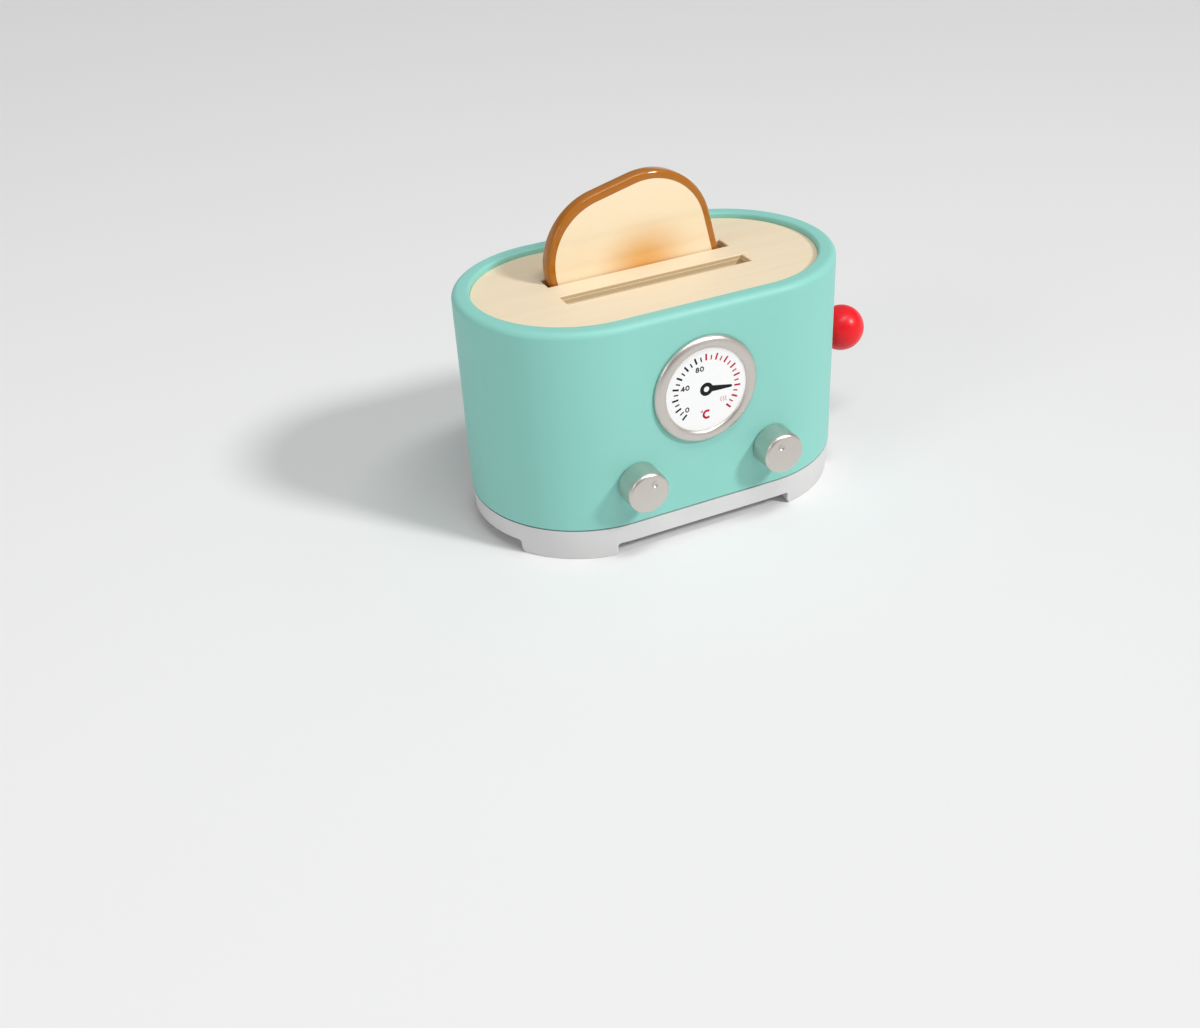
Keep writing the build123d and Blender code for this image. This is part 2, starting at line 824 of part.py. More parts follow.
with BuildPart() as rack_screws:
    for bay_y in slot_places:
        add_screw(
            downward(rack_screw_x, bay_y, rack_top),
            screw_head_radius,
            screw_head_height,
            board_screw_radius,
            board_screw_length + rack_thickness - screw_tip_gap,
        )
save(rack_screws, "rack_screws")

# Lever and its ball
lever_start = carriage_end - carriage_socket
lever_end = ball_x - ball_radius + ball_socket
with BuildPart() as lever_arm:
    with BuildSketch(endwise(lever_start, 0, lever_height)):
        Circle(lever_radius)
    extrude(amount=lever_end - lever_start)
    chamfer(lever_arm.edges(), joint_chamfer)
save(lever_arm, "lever_arm")

with BuildPart() as lever_ball:
    with Locations(point(ball_x, 0, lever_height)):
        Sphere(ball_radius)
    with BuildSketch(endwise(ball_x - ball_radius, 0, lever_height)):
        Circle(lever_radius + lever_fit)
    extrude(amount=ball_socket, mode=Mode.SUBTRACT)
save(lever_ball, "lever_ball")

# Return springs round the rods, with square wire
with BuildPart() as return_springs:
    spring_rise = carriage_bottom + spring_pocket_depth - rod_seat_top - spring_wire
    for rod_y in rod_places:
        spring_base = point(rod_x, rod_y, rod_seat_top + spring_wire / 2)
        with BuildLine():
            coil = Helix(spring_rise / spring_turns, spring_rise, spring_radius, center=spring_base)
        with BuildSketch(Plane(coil @ 0, z_dir=coil % 0)):
            Rectangle(spring_wire, spring_wire)
        sweep(path=coil, is_frenet=True)
save(return_springs, "return_springs")

# Holding magnet: yoke, coil and the armature plate that rides on the carriage
magnet_bottom = floor_top
with BuildPart() as magnet_yoke:
    with BuildSketch(level(magnet_bottom)):
        with Locations((rod_x, 0)):
            Rectangle(magnet_length, magnet_width)
    extrude(amount=magnet_plate)
    with BuildSketch(level(magnet_bottom)):
        with Locations((rod_x, 0)):
            with GridLocations(magnet_length - magnet_plate, 0, 2, 1):
                Rectangle(magnet_plate, magnet_width)
            Circle(magnet_core_radius)
    extrude(amount=magnet_top - magnet_bottom)
save(magnet_yoke, "magnet_yoke")

coil_bottom = magnet_bottom + magnet_plate
coil_top = magnet_top - armature_gap
with BuildPart() as magnet_coil:
    with BuildSketch(level(coil_bottom)):
        with Locations((rod_x, 0)):
            Circle(coil_radius)
    extrude(amount=coil_flange)
    with BuildSketch(level(coil_bottom)):
        with Locations((rod_x, 0)):
            Circle(coil_radius - coil_flange)
    extrude(amount=coil_top - coil_bottom)
    with BuildSketch(level(coil_top - coil_flange)):
        with Locations((rod_x, 0)):
            Circle(coil_radius)
    extrude(amount=coil_flange)
    with BuildSketch(level(coil_bottom)):
        with Locations((rod_x, 0)):
            Circle(magnet_core_radius + lever_fit)
    extrude(amount=coil_top - coil_bottom, mode=Mode.SUBTRACT)
save(magnet_coil, "magnet_coil")

armature_reach = magnet_length / 2 + contact_width + magnet_plate
with BuildPart() as armature_plate:
    with BuildSketch(level(armature_top - armature_thickness)):
        with Locations((rod_x - (armature_reach - magnet_length / 2) / 2, 0)):
            RectangleRounded(armature_reach + magnet_length / 2 - lever_fit, magnet_width, 1)
    extrude(amount=armature_thickness)
save(armature_plate, "armature_plate")

# Start contacts: two blades in a block, closed by the armature plate at the bottom of the travel
contact_x = rod_x - magnet_length / 2 - magnet_plate - contact_width / 2
contact_offset = magnet_width / 4
with BuildPart() as contact_block:
    with BuildSketch(level(floor_top)):
        with Locations((contact_x, 0)):
            Rectangle(contact_width, magnet_width)
    extrude(amount=contact_block_height)
    with BuildSketch(level(floor_top)):
        with Locations((contact_x, -contact_offset), (contact_x, contact_offset)):
            Rectangle(contact_thickness, contact_width)
    extrude(amount=contact_block_height, mode=Mode.SUBTRACT)
save(contact_block, "contact_block")

with BuildPart() as contact_blades:
    with BuildSketch(level(floor_top)):
        with Locations((contact_x, -contact_offset), (contact_x, contact_offset)):
            Rectangle(contact_thickness, contact_width)
    extrude(amount=magnet_top - floor_top)
save(contact_blades, "contact_blades")

# Battery door with its two screws
with BuildPart() as battery_door:
    with BuildSketch(level(floor_height)):
        RectangleRounded(door_length - 2 * door_gap, door_width - 2 * door_gap, door_corner - door_gap)
        with Locations(*door_screw_places):
            Circle(door_screw_radius + pilot_fit, mode=Mode.SUBTRACT)
    extrude(amount=door_thickness)
    with BuildSketch(level(floor_height)):
        with Locations(*door_screw_places):
            Circle(screw_head_radius)
    extrude(amount=door_thickness / 2, mode=Mode.SUBTRACT)
save(battery_door, "battery_door")

with BuildPart() as door_screws:
    for x, y in door_screw_places:
        add_screw(
            upward(x, y, floor_height + door_thickness / 2),
            screw_head_radius - pilot_fit,
            door_thickness / 2,
            door_screw_radius,
            door_screw_length,
        )
save(door_screws, "door_screws")

# Cell contacts: springs at one end of the bay, plates at both
cell_height = door_seat + bay_inside_height / 2
cell_places = (-cell_pitch / 2, cell_pitch / 2)
with BuildPart() as cell_plates:
    for side in (-1, 1):
        plate_x = side * (bay_inside_length / 2 - cell_plate_thickness)
        for cell_y in cell_places:
            with BuildSketch(endwise(plate_x, cell_y, cell_height, side)):
                Rectangle(cell_plate_size, cell_plate_size)
            extrude(amount=cell_plate_thickness)
save(cell_plates, "cell_plates")

with BuildPart() as cell_springs:
    spring_x = -bay_inside_length / 2 + cell_plate_thickness + spring_wire / 2
    for cell_y in cell_places:
        with BuildLine():
            coil = Helix(
                cell_spring_length / cell_spring_turns,
                cell_spring_length,
                cell_spring_radius,
                center=point(spring_x, cell_y, cell_height),
                direction=(1, 0, 0),
            )
        with BuildSketch(Plane(coil @ 0, z_dir=coil % 0)):
            Rectangle(spring_wire, spring_wire)
        sweep(path=coil, is_frenet=True)
save(cell_springs, "cell_springs")

# Speaker: frame with its magnet, and the cone
cone_rim = speaker_radius - speaker_rib
with BuildPart() as speaker_frame:
    with BuildSketch(facing(speaker_x, 0, floor_top)):
        with BuildLine():
            Polyline(
                (cone_rim, 0),
                (speaker_radius, 0),
                (speaker_radius, 2 * speaker_rib),
                (speaker_radius / 2, speaker_height - speaker_rib),
                (speaker_radius / 2, speaker_height),
                (0, speaker_height),
                (0, speaker_height - speaker_rib),
                (speaker_radius / 3, speaker_height - speaker_rib),
                (cone_rim, speaker_rib),
                close=True,
            )
        make_face()
    revolve(axis=Axis(point(speaker_x, 0, 0), (0, 0, 1)))
save(speaker_frame, "speaker_frame")

cone_thickness = speaker_rib / 2
with BuildPart() as speaker_cone:
    with BuildSketch(facing(speaker_x, 0, floor_top)):
        with BuildLine():
            Polyline(
                (cone_rim - lever_fit, 0),
                (cone_rim - lever_fit, speaker_rib - lever_fit),
                (speaker_radius / 3, speaker_height - 2 * speaker_rib),
                (0, speaker_height - 2 * speaker_rib),
                (0, speaker_height - 2 * speaker_rib - cone_thickness),
                (speaker_radius / 3, speaker_height - 2 * speaker_rib - cone_thickness),
                (cone_rim - 2 * cone_thickness, 0),
                close=True,
            )
        make_face()
    revolve(axis=Axis(point(speaker_x, 0, 0), (0, 0, 1)))
save(speaker_cone, "speaker_cone")

# Circuit board, its parts and screws
with BuildPart() as circuit_board:
    with BuildSketch(level(board_height)):
        with Locations((board_x, 0)):
            Rectangle(board_length, board_width)
        with Locations(*board_post_places):
            Circle(board_screw_radius + pilot_fit, mode=Mode.SUBTRACT)
    extrude(amount=board_thickness)
save(circuit_board, "circuit_board")

board_top = board_height + board_thickness
with BuildPart() as board_parts:
    # sound chip and timer chip
    with BuildSketch(level(board_top)):
        with Locations((board_x, -chip_pitch / 2), (board_x, chip_pitch / 2)):
            Rectangle(chip_size, chip_size)
    extrude(amount=chip_height)
    # connector for the leads
    with BuildSketch(level(board_top)):
        with Locations((board_x, board_post_y - connector_width)):
            Rectangle(connector_length, connector_width)
    extrude(amount=connector_height)
    # capacitors
    with BuildSketch(level(board_top)):
        with Locations((board_x, capacitor_width - board_post_y)):
            with GridLocations(2 * capacitor_width, 0, 2, 1):
                Circle(capacitor_width / 2)
    extrude(amount=capacitor_height)
save(board_parts, "board_parts")

with BuildPart() as board_screws:
    for x, y in board_post_places:
        add_screw(
            downward(x, y, board_top),
            board_screw_head_radius,
            screw_head_height,
            board_screw_radius,
            board_screw_length,
        )
save(board_screws, "board_screws")

# Toast: a slice with round shoulders, standing tilted in the rear slot
tilt = radians(toast_tilt)
toast_place = point(toast_x, slot_offset, toast_z)
toast_plane = Plane(toast_place, x_dir=(cos(tilt), 0, sin(tilt)), z_dir=(0, -1, 0))
with BuildPart() as toast:
    with BuildSketch(toast_plane):
        Rectangle(toast_width, toast_height)
        fillet(vertices().group_by(Axis.Y)[-1], toast_top_radius)
        fillet(vertices().group_by(Axis.Y)[0], toast_foot_radius)
    extrude(amount=toast_thickness / 2, both=True)
    fillet(toast.faces().filter_by(Axis.Y).edges(), toast_edge_radius)
save(toast, "toast")
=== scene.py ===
"""Toy pop-up toaster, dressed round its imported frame.

Metres, +Z up. The lever is at +X and the dial faces -Y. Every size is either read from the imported
frame or named below, and every piece rides on the body that carries it.
"""

from math import acos, atan2, cos, degrees, pi, radians, sin

import bmesh
import bpy
from mathutils import Euler, Matrix, Vector


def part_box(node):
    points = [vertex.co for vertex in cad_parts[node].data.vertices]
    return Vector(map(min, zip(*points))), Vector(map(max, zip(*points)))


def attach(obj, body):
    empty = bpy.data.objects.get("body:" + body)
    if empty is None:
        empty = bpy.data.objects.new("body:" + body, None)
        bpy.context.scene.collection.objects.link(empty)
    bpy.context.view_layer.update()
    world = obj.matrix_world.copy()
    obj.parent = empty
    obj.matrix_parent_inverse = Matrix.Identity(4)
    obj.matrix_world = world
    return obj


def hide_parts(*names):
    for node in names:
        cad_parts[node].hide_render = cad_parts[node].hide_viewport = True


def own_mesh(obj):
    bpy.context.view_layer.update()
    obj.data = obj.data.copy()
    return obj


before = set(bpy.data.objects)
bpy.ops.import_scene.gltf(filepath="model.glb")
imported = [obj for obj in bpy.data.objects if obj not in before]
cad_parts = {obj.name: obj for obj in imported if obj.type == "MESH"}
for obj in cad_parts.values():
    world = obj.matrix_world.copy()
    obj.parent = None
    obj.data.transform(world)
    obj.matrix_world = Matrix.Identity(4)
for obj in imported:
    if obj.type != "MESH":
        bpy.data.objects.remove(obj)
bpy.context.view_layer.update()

MM = 0.001
HAIR = 1e-6
X = Vector((1, 0, 0))
Y = Vector((0, 1, 0))
Z = Vector((0, 0, 1))


def middle_of(name):
    """The middle of a node's box."""
    return [(low + high) / 2 for low, high in zip(*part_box(name))]


def half_of(name):
    """Half the size of a node's box along each axis."""
    return [(high - low) / 2 for low, high in zip(*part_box(name))]


# Places read from the frame
shell_low, shell_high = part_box("housing")
plate_low, plate_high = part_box("top_plate")
toast_low, toast_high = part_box("toast")
body_x, body_y, _ = middle_of("housing")
half_length, end_radius, _ = half_of("housing")
run = half_length - end_radius
front = shell_low.y
shell_bottom = shell_low.z
rim_top = shell_high.z
plate_bottom = plate_low.z
plate_top = plate_high.z
door_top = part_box("battery_door")[1].z
ground = Vector((body_x, body_y, 0))

# Steps round a turned piece
shell_steps = 256
trim_steps = 192
ball_steps = 144
bar_steps = 96
small_steps = 64
hole_steps = 48
sign_steps = 32

# How far joined pieces stay off each other's flat faces, so that they weld cleanly
lap = 0.02 * MM

# Housing
wall = 3 * MM
rim_width = 9 * MM
rim_outer_radius = 3.4 * MM
rim_inner_radius = 1.5 * MM
ledge_width = 3 * MM
ledge_thickness = 3 * MM
joint_chamfer = 0.4 * MM
joint_gap = 0.5 * MM
joint_groove = 2.4 * MM
rim_core_wall = 3 * MM
rim_roof = 4 * MM
ear_radius = 6 * MM
knob_collar_radius = 7 * MM
knob_collar_length = 3 * MM

# Screws and what they bite into
post_radius = 4.8 * MM
post_height = 28 * MM
pilot_radius = 1.35 * MM
pilot_fit = 0.05 * MM
clearance_radius = 1.6 * MM
base_screw_head = (2.7 * MM, 1.6 * MM)
base_screw_shank = (1.3 * MM, 18 * MM)
door_screw_head = (2.65 * MM, 0.9 * MM)
door_screw_shank = (1.2 * MM, 7 * MM)
door_boss_radius = 4 * MM
screw_edge_share = 0.35
recess_width = 0.8 * MM
recess_depth = 0.55 * MM
recess_taper = 0.7
recess_share = 0.62

# Lever and its slot
lever_travel = 35 * MM
lever_slot_radius = 3.6 * MM
lever_slot_chamfer = 0.4 * MM
socket_fit = 0.05 * MM
socket_depth = 14 * MM

# Base
draft_inset = 1 * MM
floor_height = 7.1 * MM
floor_thickness = 2.5 * MM
foot_width = 12 * MM
foot_front_run = 50.7 * MM
foot_end_run = 28.5 * MM
notch_radius = 1.6 * MM
foot_corner_radius = 2.6 * MM
foot_edge_round = 0.5 * MM
foot_edge_middle = 0.3 * foot_edge_round
flare_start = 265
bay_length = 54 * MM
bay_width = 23 * MM
bay_height = 11.5 * MM
bay_wall = 2 * MM
door_gap = 0.3 * MM
door_corner = 3 * MM
counterbore_radius = 3.3 * MM
counterbore_depth = 9 * MM
speaker_hole_radius = 1.3 * MM
speaker_hole_circle = 8 * MM
speaker_hole_count = 8
speaker_rib = 1.5 * MM
speaker_rib_height = 3.2 * MM
speaker_fit = 0.2 * MM
board_post_radius = 2.6 * MM
board_pilot_radius = 1.05 * MM
board_screw_inset = 2.5 * MM
rod_seat_wall = 2.6 * MM
rod_seat_height = 4.4 * MM
rod_seat_fit = 0.02 * MM
lip_height = 3 * MM
lip_thickness = 2 * MM
lip_clearance = 0.2 * MM
floor_top = floor_height + floor_thickness
buried = floor_height + floor_thickness / 2

# Dial
dial_window_radius = 21.9 * MM
dial_lip = 1.4 * MM
dial_spigot_radius = 25 * MM
bezel_crest = 24.6 * MM
bezel_skirt = 0.5 * MM
bezel_gap = 0.35 * MM
bezel_step = 0.9 * MM
ink_thickness = 0.03 * MM

# The dial's print: 29 marks over three quarters of a turn, black below the hot end and red in it
scale_marks = 29
first_red_mark = 14
scale_start = 225
scale_sweep = 270
scale_inner = 15.4 * MM
long_mark = (3.4 * MM, 0.98 * MM)
short_mark = (2.4 * MM, 0.7 * MM)
mark_corner = 0.08 * MM
number_places = {
    "low": ("0", -10.6 * MM, -8.4 * MM),
    "middle": ("40", -11.5 * MM, 3.3 * MM),
    "high": ("80", -3.6 * MM, 11.4 * MM),
}
digit_height = 2.75 * MM
digit_stroke = 0.58 * MM
digit_pitch = 2.45 * MM
# the digits' proportions, as shares of half their height
zero_width = 0.78
eight_upper_height = 0.46
eight_upper_width = 0.52
eight_lower_width = 0.66
four_stem = 0.36
four_bar = 0.42
four_reach = 0.8

# Knobs
knob_gap = 0.4 * MM
knob_back_chamfer = 0.3 * MM
knob_crown = 1.0 * MM
knob_edge_radius = 2.1 * MM
knob_stem_radius = 4 * MM
knob_dimple_radius = 1.8 * MM
knob_dimple_offset = 5.8 * MM
knob_dimple_depth = 0.8 * MM
bowl_steps = 14
dimple_angles = {"left": 66, "right": 117}

# Springs
spring_wire = 0.8 * MM
spring_steps = 40
wire_steps = 12
return_spring_turns = 6
return_spring_radius = 3.3 * MM
cell_spring_turns = 3
cell_spring_radius = 2.8 * MM

# Toast
toast_width = 92 * MM
toast_height = 90 * MM
toast_top_radius = 35.5 * MM
toast_foot_radius = 4 * MM
toast_edge_radius = 2 * MM
toast_edge_steps = 6
toast_tilt = radians(13.5)
toast_trim = 0.01 * MM
crust_width = 4 * MM


# ---- Bench tools ----


def deselect():
    """Let go of everything, so that the next operator touches only its own piece."""
    bpy.ops.object.select_all(action="DESELECT")


def hold(piece):
    """Make one piece the only one selected."""
    deselect()
    piece.select_set(True)
    bpy.context.view_layer.objects.active = piece


def edit(piece):
    """Hold a piece and go into edit mode."""
    hold(piece)
    bpy.ops.object.mode_set(mode="EDIT")


def leave(piece):
    """Go back to object mode."""
    bpy.ops.object.mode_set(mode="OBJECT")
    return piece


def named(piece, name):
    """Name a piece and its mesh."""
    piece.name = name
    piece.data.name = name
    return piece


def extrude(step):
    """Extrude what is selected by a step, in edit mode."""
    bpy.ops.mesh.extrude_region_move(TRANSFORM_OT_translate={"value": step})


def draw_line(name, points):
    """A new piece that is a line through the points, grown from the first and left in edit mode."""
    deselect()
    bpy.ops.mesh.primitive_plane_add(size=MM)
    piece = named(bpy.context.object, name)
    bpy.ops.object.mode_set(mode="EDIT")
    bpy.ops.mesh.select_mode(type="VERT")
    bpy.ops.mesh.select_all(action="SELECT")
    bpy.ops.mesh.merge(type="CENTER")
    bpy.ops.transform.translate(value=points[0])
    for here, there in zip(points, points[1:]):
        extrude(there - here)
    bpy.ops.mesh.select_all(action="SELECT")
    return piece


def close_up(piece):
    """Weld a shell's doubled points and turn its faces outwards, in edit mode, and leave it."""
    bpy.ops.mesh.select_all(action="SELECT")
    bpy.ops.mesh.remove_doubles(threshold=HAIR)
    bpy.ops.mesh.normals_make_consistent(inside=False)
    return leave(piece)


def turn(name, profile, centre, along, steps):
    """A turned piece. The profile's points are (radius, distance along the axis)."""
    across = X if abs(along.x) < 0.5 else Y
    half_step = Matrix.Rotation(pi / steps, 3, along)
    points = [centre + half_step @ (across * radius) + along * far for radius, far in profile]
    piece = draw_line(name, points)
    bpy.ops.mesh.spin(steps=steps, angle=2 * pi, center=centre, axis=along)
    return close_up(piece)


def rod(name, centre, along, radius, length, steps=small_steps):
    """A round bar that starts at the centre and runs along the axis."""
    return turn(name, [(0, 0), (radius, 0), (radius, length), (0, length)], centre, along, steps)


def tube(name, centre, along, inner, outer, low, high, steps):
    """A round tube about an axis, between two distances along it."""
    profile = [(inner, low), (inner, high), (outer, high), (outer, low), (inner, low)]
    return turn(name, profile, centre, along, steps)


def select(piece, kind, wanted):
    """Select the points, edges or faces that are wanted, in edit mode."""
    bpy.ops.mesh.select_mode(type=kind)
    bpy.ops.mesh.select_all(action="DESELECT")
    mesh = bmesh.from_edit_mesh(piece.data)
    for part in {"VERT": mesh.verts, "EDGE": mesh.edges, "FACE": mesh.faces}[kind]:
        if wanted(part):
            part.select_set(True)
    if kind == "VERT":
        mesh.select_flush(True)
    bmesh.update_edit_mesh(piece.data)


def pull_apart(piece, distance):
    """Part a turned piece at its middle and move its halves out, which makes a long round-ended one."""
    edit(piece)
    for side in (-1, 1):
        select(piece, "VERT", lambda point: side * (point.co.x - body_x) > HAIR)
        bpy.ops.transform.translate(value=X * distance * side)
    return leave(piece)


def oval(centre, half_across, half_up, start, end, steps):
    """Points along part of an oval of a profile, with its angles in degrees."""
    middle_a, middle_b = centre
    angles = [radians(start + (end - start) * i / steps) for i in range(steps + 1)]
    return [(middle_a + half_across * cos(a), middle_b + half_up * sin(a)) for a in angles]


def arc(centre, radius, start, end, steps):
    """Points along an arc of a profile, with its angles in degrees."""
    return oval(centre, radius, radius, start, end, steps)


def settle(piece):
    """Move a piece's place into its mesh, so that its object sits at the origin."""
    hold(piece)
    bpy.ops.object.transform_apply(location=True, rotation=True, scale=True)
    return piece


def apply_modifier(piece, kind, **settings):
    """Add a modifier, set it and apply it."""
    hold(piece)
    modifier = piece.modifiers.new(kind.title(), kind)
    for name, value in settings.items():
        setattr(modifier, name, value)
    bpy.ops.object.modifier_apply(modifier=modifier.name)
    return piece


def combine(piece, operation, others):
    """Work other closed pieces into this one, one after the other."""
    for other in others:
        apply_modifier(piece, "BOOLEAN", operation=operation, solver="EXACT", object=other)
        bpy.data.objects.remove(other)
    return piece


def cut(piece, *cutters):
    """Take each cutter out of the piece."""
    return combine(piece, "DIFFERENCE", cutters)


def weld(piece, *others):
    """Weld other closed pieces on to this one."""
    return combine(piece, "UNION", others)


def bar(name, low, high):
    """A block between two corners, for cutting or for a start."""
    deselect()
    bpy.ops.mesh.primitive_cube_add(size=1, location=(low + high) / 2)
    piece = named(bpy.context.object, name)
    piece.scale = high - low
    return settle(piece)


def round_corners(piece, along, radius):
    """Round a block's four edges that run along a direction."""

    def runs_along(edge):
        course = (edge.verts[1].co - edge.verts[0].co).normalized()
        return abs(course.dot(along)) > 0.99

    edit(piece)
    select(piece, "EDGE", runs_along)
    bpy.ops.mesh.bevel(offset=radius, segments=10, affect="EDGES")
    return leave(piece)


def extruded(name, outline, along):
    """A solid made by pulling a flat outline along a direction."""
    piece = draw_line(name, [*outline, outline[0]])
    bpy.ops.mesh.remove_doubles(threshold=HAIR)
    bpy.ops.mesh.edge_face_add()
    extrude(along)
    return close_up(piece)


def join(name, pieces):
    """Put separate pieces together as one, under a new name."""
    deselect()
    for piece in pieces:
        piece.select_set(True)
    bpy.context.view_layer.objects.active = pieces[0]
    bpy.ops.object.join()
    return named(bpy.context.object, name)


def copy_of(piece):
    """A copy of a piece, with its own mesh."""
    hold(piece)
    bpy.ops.object.duplicate()
    return bpy.context.object


def repeat(piece, places):
    """Copy a piece from the first place to the others, and join it with its copies."""
    row = [piece]
    for place in places[1:]:
        copy = copy_of(piece)
        copy.location = place - places[0]
        row.append(settle(copy))
    return join(piece.name, row)


def posts(places, radius, low, high):
    """Round bars at places, between two heights."""
    foot = Vector((places[0].x, places[0].y, low))
    return repeat(rod("posts", foot, Z, radius, high - low, hole_steps), places)


def spots(name, inset):
    """The places an inset in from the corners of a node's box, on the floor."""
    x, y, _ = middle_of(name)
    half_x, half_y = [half - inset for half in half_of(name)[:2]]
    sides_x = (-1, 1) if half_x > MM else (0,)
    sides_y = (-1, 1) if half_y > MM else (0,)
    return [Vector((x + i * half_x, y + j * half_y, 0)) for i in sides_x for j in sides_y]


def on_front(name, depth=0):
    """The place at a node's middle on the housing's front, or a depth behind it."""
    x, _, z = middle_of(name)
    return Vector((x, front + depth, z))


def smooth(piece, angle=30):
    """Shade a piece smoothly, with its edges kept where the faces turn by more than the angle."""
    hold(piece)
    bpy.ops.object.shade_smooth_by_angle(angle=radians(angle))
    return piece


def paint(mesh, material):
    """Give a mesh one finish."""
    mesh.materials.clear()
    mesh.materials.append(material)


def dress(piece, body, material):
    """Give a new piece its body and its finish."""
    paint(piece.data, material)
    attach(piece, body)


def stand_in(piece, node, body):
    """Let a new piece stand for a node, with that node's finish."""
    dress(piece, body, finish_of[node])
    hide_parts(node)


# ---- Finishes ----


class Finish:
    """A node material being built: a shader with helpers for the patterns that feed it."""

    def __init__(self, name, **sockets):
        self.material = bpy.data.materials.new(name)
        self.material.use_nodes = True
        self.tree = self.material.node_tree
        self.shader = self.tree.nodes["Principled BSDF"]
        for socket, value in sockets.items():
            self.shader.inputs[socket.replace("_", " ")].default_value = value
        self.place = self.tree.nodes.new("ShaderNodeTexCoord").outputs["Object"]

    def add(self, kind, inputs=(), **settings):
        """A node of a kind, with its settings, and its inputs linked or set."""
        node = self.tree.nodes.new(kind)
        for name, value in settings.items():
            setattr(node, name, value)
        for name, value in dict(inputs).items():
            socket = node.inputs[name]
            if isinstance(value, bpy.types.NodeSocket):
                self.tree.links.new(value, socket)
            else:
                socket.default_value = value
        return node

    def stretched(self, scale):
        """Object coordinates, stretched along each axis."""
        return self.add("ShaderNodeMapping", {"Vector": self.place, "Scale": scale}).outputs["Vector"]

    def noise(self, scale, detail=3, roughness=0.5, vector=None, distortion=0):
        """A soft random pattern, from 0 to 1. The scale is in patches a metre."""
        inputs = {"Scale": scale, "Detail": detail, "Roughness": roughness, "Distortion": distortion}
        return self.add("ShaderNodeTexNoise", {"Vector": vector or self.place, **inputs}).outputs["Fac"]

    def math(self, operation, a, b=0.0):
        """One sum."""
        return self.add("ShaderNodeMath", {0: a, 1: b}, operation=operation).outputs[0]

    def split(self, vector):
        """The three parts of a place."""
        return self.add("ShaderNodeSeparateXYZ", {"Vector": vector}).outputs[:]

    def between(self, value, low, high, to_low=0.0, to_high=1.0, kind="LINEAR"):
        """Stretch a range of values on to another."""
        ends = {"From Min": low, "From Max": high, "To Min": to_low, "To Max": to_high}
        node = self.add("ShaderNodeMapRange", {"Value": value, **ends}, interpolation_type=kind)
        return node.outputs["Result"]

    def blend(self, share, colour_a, colour_b):
        """Two colours mixed by a share."""
        inputs = {"Factor": share, 6: colour_a, 7: colour_b}
        return self.add("ShaderNodeMix", inputs, data_type="RGBA").outputs[2]

    def colour(self, value):
        """Feed the shader's colour."""
        self.tree.links.new(value, self.shader.inputs["Base Color"])

    def roughness(self, value):
        """Feed the shader's roughness."""
        self.tree.links.new(value, self.shader.inputs["Roughness"])

    def relief(self, height, depth):
        """Feed the shader's bump, with its depth in metres."""
        node = self.add("ShaderNodeBump", {"Height": height, "Distance": depth, "Strength": 1.0})
        self.tree.links.new(node.outputs["Normal"], self.shader.inputs["Normal"])

    def clouded(self, cloud, colour, darker, lighter):
        """Feed the shader's colour with a faint cloudiness."""
        self.colour(self.blend(cloud, tint(colour, darker), tint(colour, lighter)))

    def worn(self, pattern, low, high, smoother, rougher):
        """Feed the shader's roughness with a pattern, between two levels of it."""
        self.roughness(self.between(pattern, low, high, smoother, rougher))


def tint(colour, factor):
    """A colour made darker or lighter."""
    return (*[min(1, c * factor) for c in colour[:3]], 1)


def painted(name, colour, roughness, variation=0.03, grain=900, depth=0.02 * MM, **sockets):
    """Sprayed paint: a fine orange peel and a faint cloudiness in its colour."""
    finish = Finish(name, Roughness=roughness, **sockets)
    finish.clouded(finish.noise(35, detail=4), colour, 1 - variation, 1 + variation)
    finish.worn(finish.noise(160), 0.3, 0.7, roughness - 0.04, roughness + 0.04)
    finish.relief(finish.noise(grain, detail=2), depth)
    return finish.material


def moulded(name, colour, roughness, grain=2500, depth=0.02 * MM, **sockets):
    """Moulded plastic with a fine spark-eroded grain."""
    finish = Finish(name, Roughness=roughness, **sockets)
    finish.clouded(finish.noise(60, detail=5, roughness=0.6), colour, 0.975, 1.02)
    finish.worn(finish.noise(grain / 4), 0.3, 0.7, roughness - 0.05, roughness + 0.05)
    finish.relief(finish.noise(grain, detail=1), depth)
    return finish.material


def metal(name, colour, roughness, brush=(1, 1, 1), grain=1500, depth=0.01 * MM):
    """Bare or plated metal, with tool marks drawn out along the stretched direction."""
    finish = Finish(name, Metallic=1.0, Roughness=roughness)
    marks = finish.noise(grain, vector=finish.stretched(brush))
    finish.clouded(finish.noise(90, detail=4), colour, 0.93, 1.05)
    finish.worn(marks, 0.25, 0.75, roughness - 0.06, roughness + 0.08)
    finish.relief(marks, depth)
    return finish.material


def ink(name, colour):
    """Screen-printed ink: flat, with a faint unevenness where it is laid down thicker."""
    finish = Finish(name, Roughness=0.6, Specular_IOR_Level=0.2)
    weave = finish.noise(6000, detail=1)
    finish.clouded(weave, colour, 0.9, 1.12)
    finish.relief(weave, 0.004 * MM)
    return finish.material


def satin(name, colour, roughness):
    """Silver lacquer: a very fine sparkle and an even sheen."""
    finish = Finish(name, Metallic=1.0, Roughness=roughness)
    flake = finish.noise(9000, detail=1)
    fine = finish.math("MULTIPLY", flake, 0.4)
    broad = finish.math("MULTIPLY", finish.noise(50, detail=2), 0.6)
    finish.clouded(finish.math("ADD", fine, broad), colour, 0.96, 1.04)
    finish.worn(flake, 0.3, 0.7, roughness - 0.02, roughness + 0.02)
    return finish.material


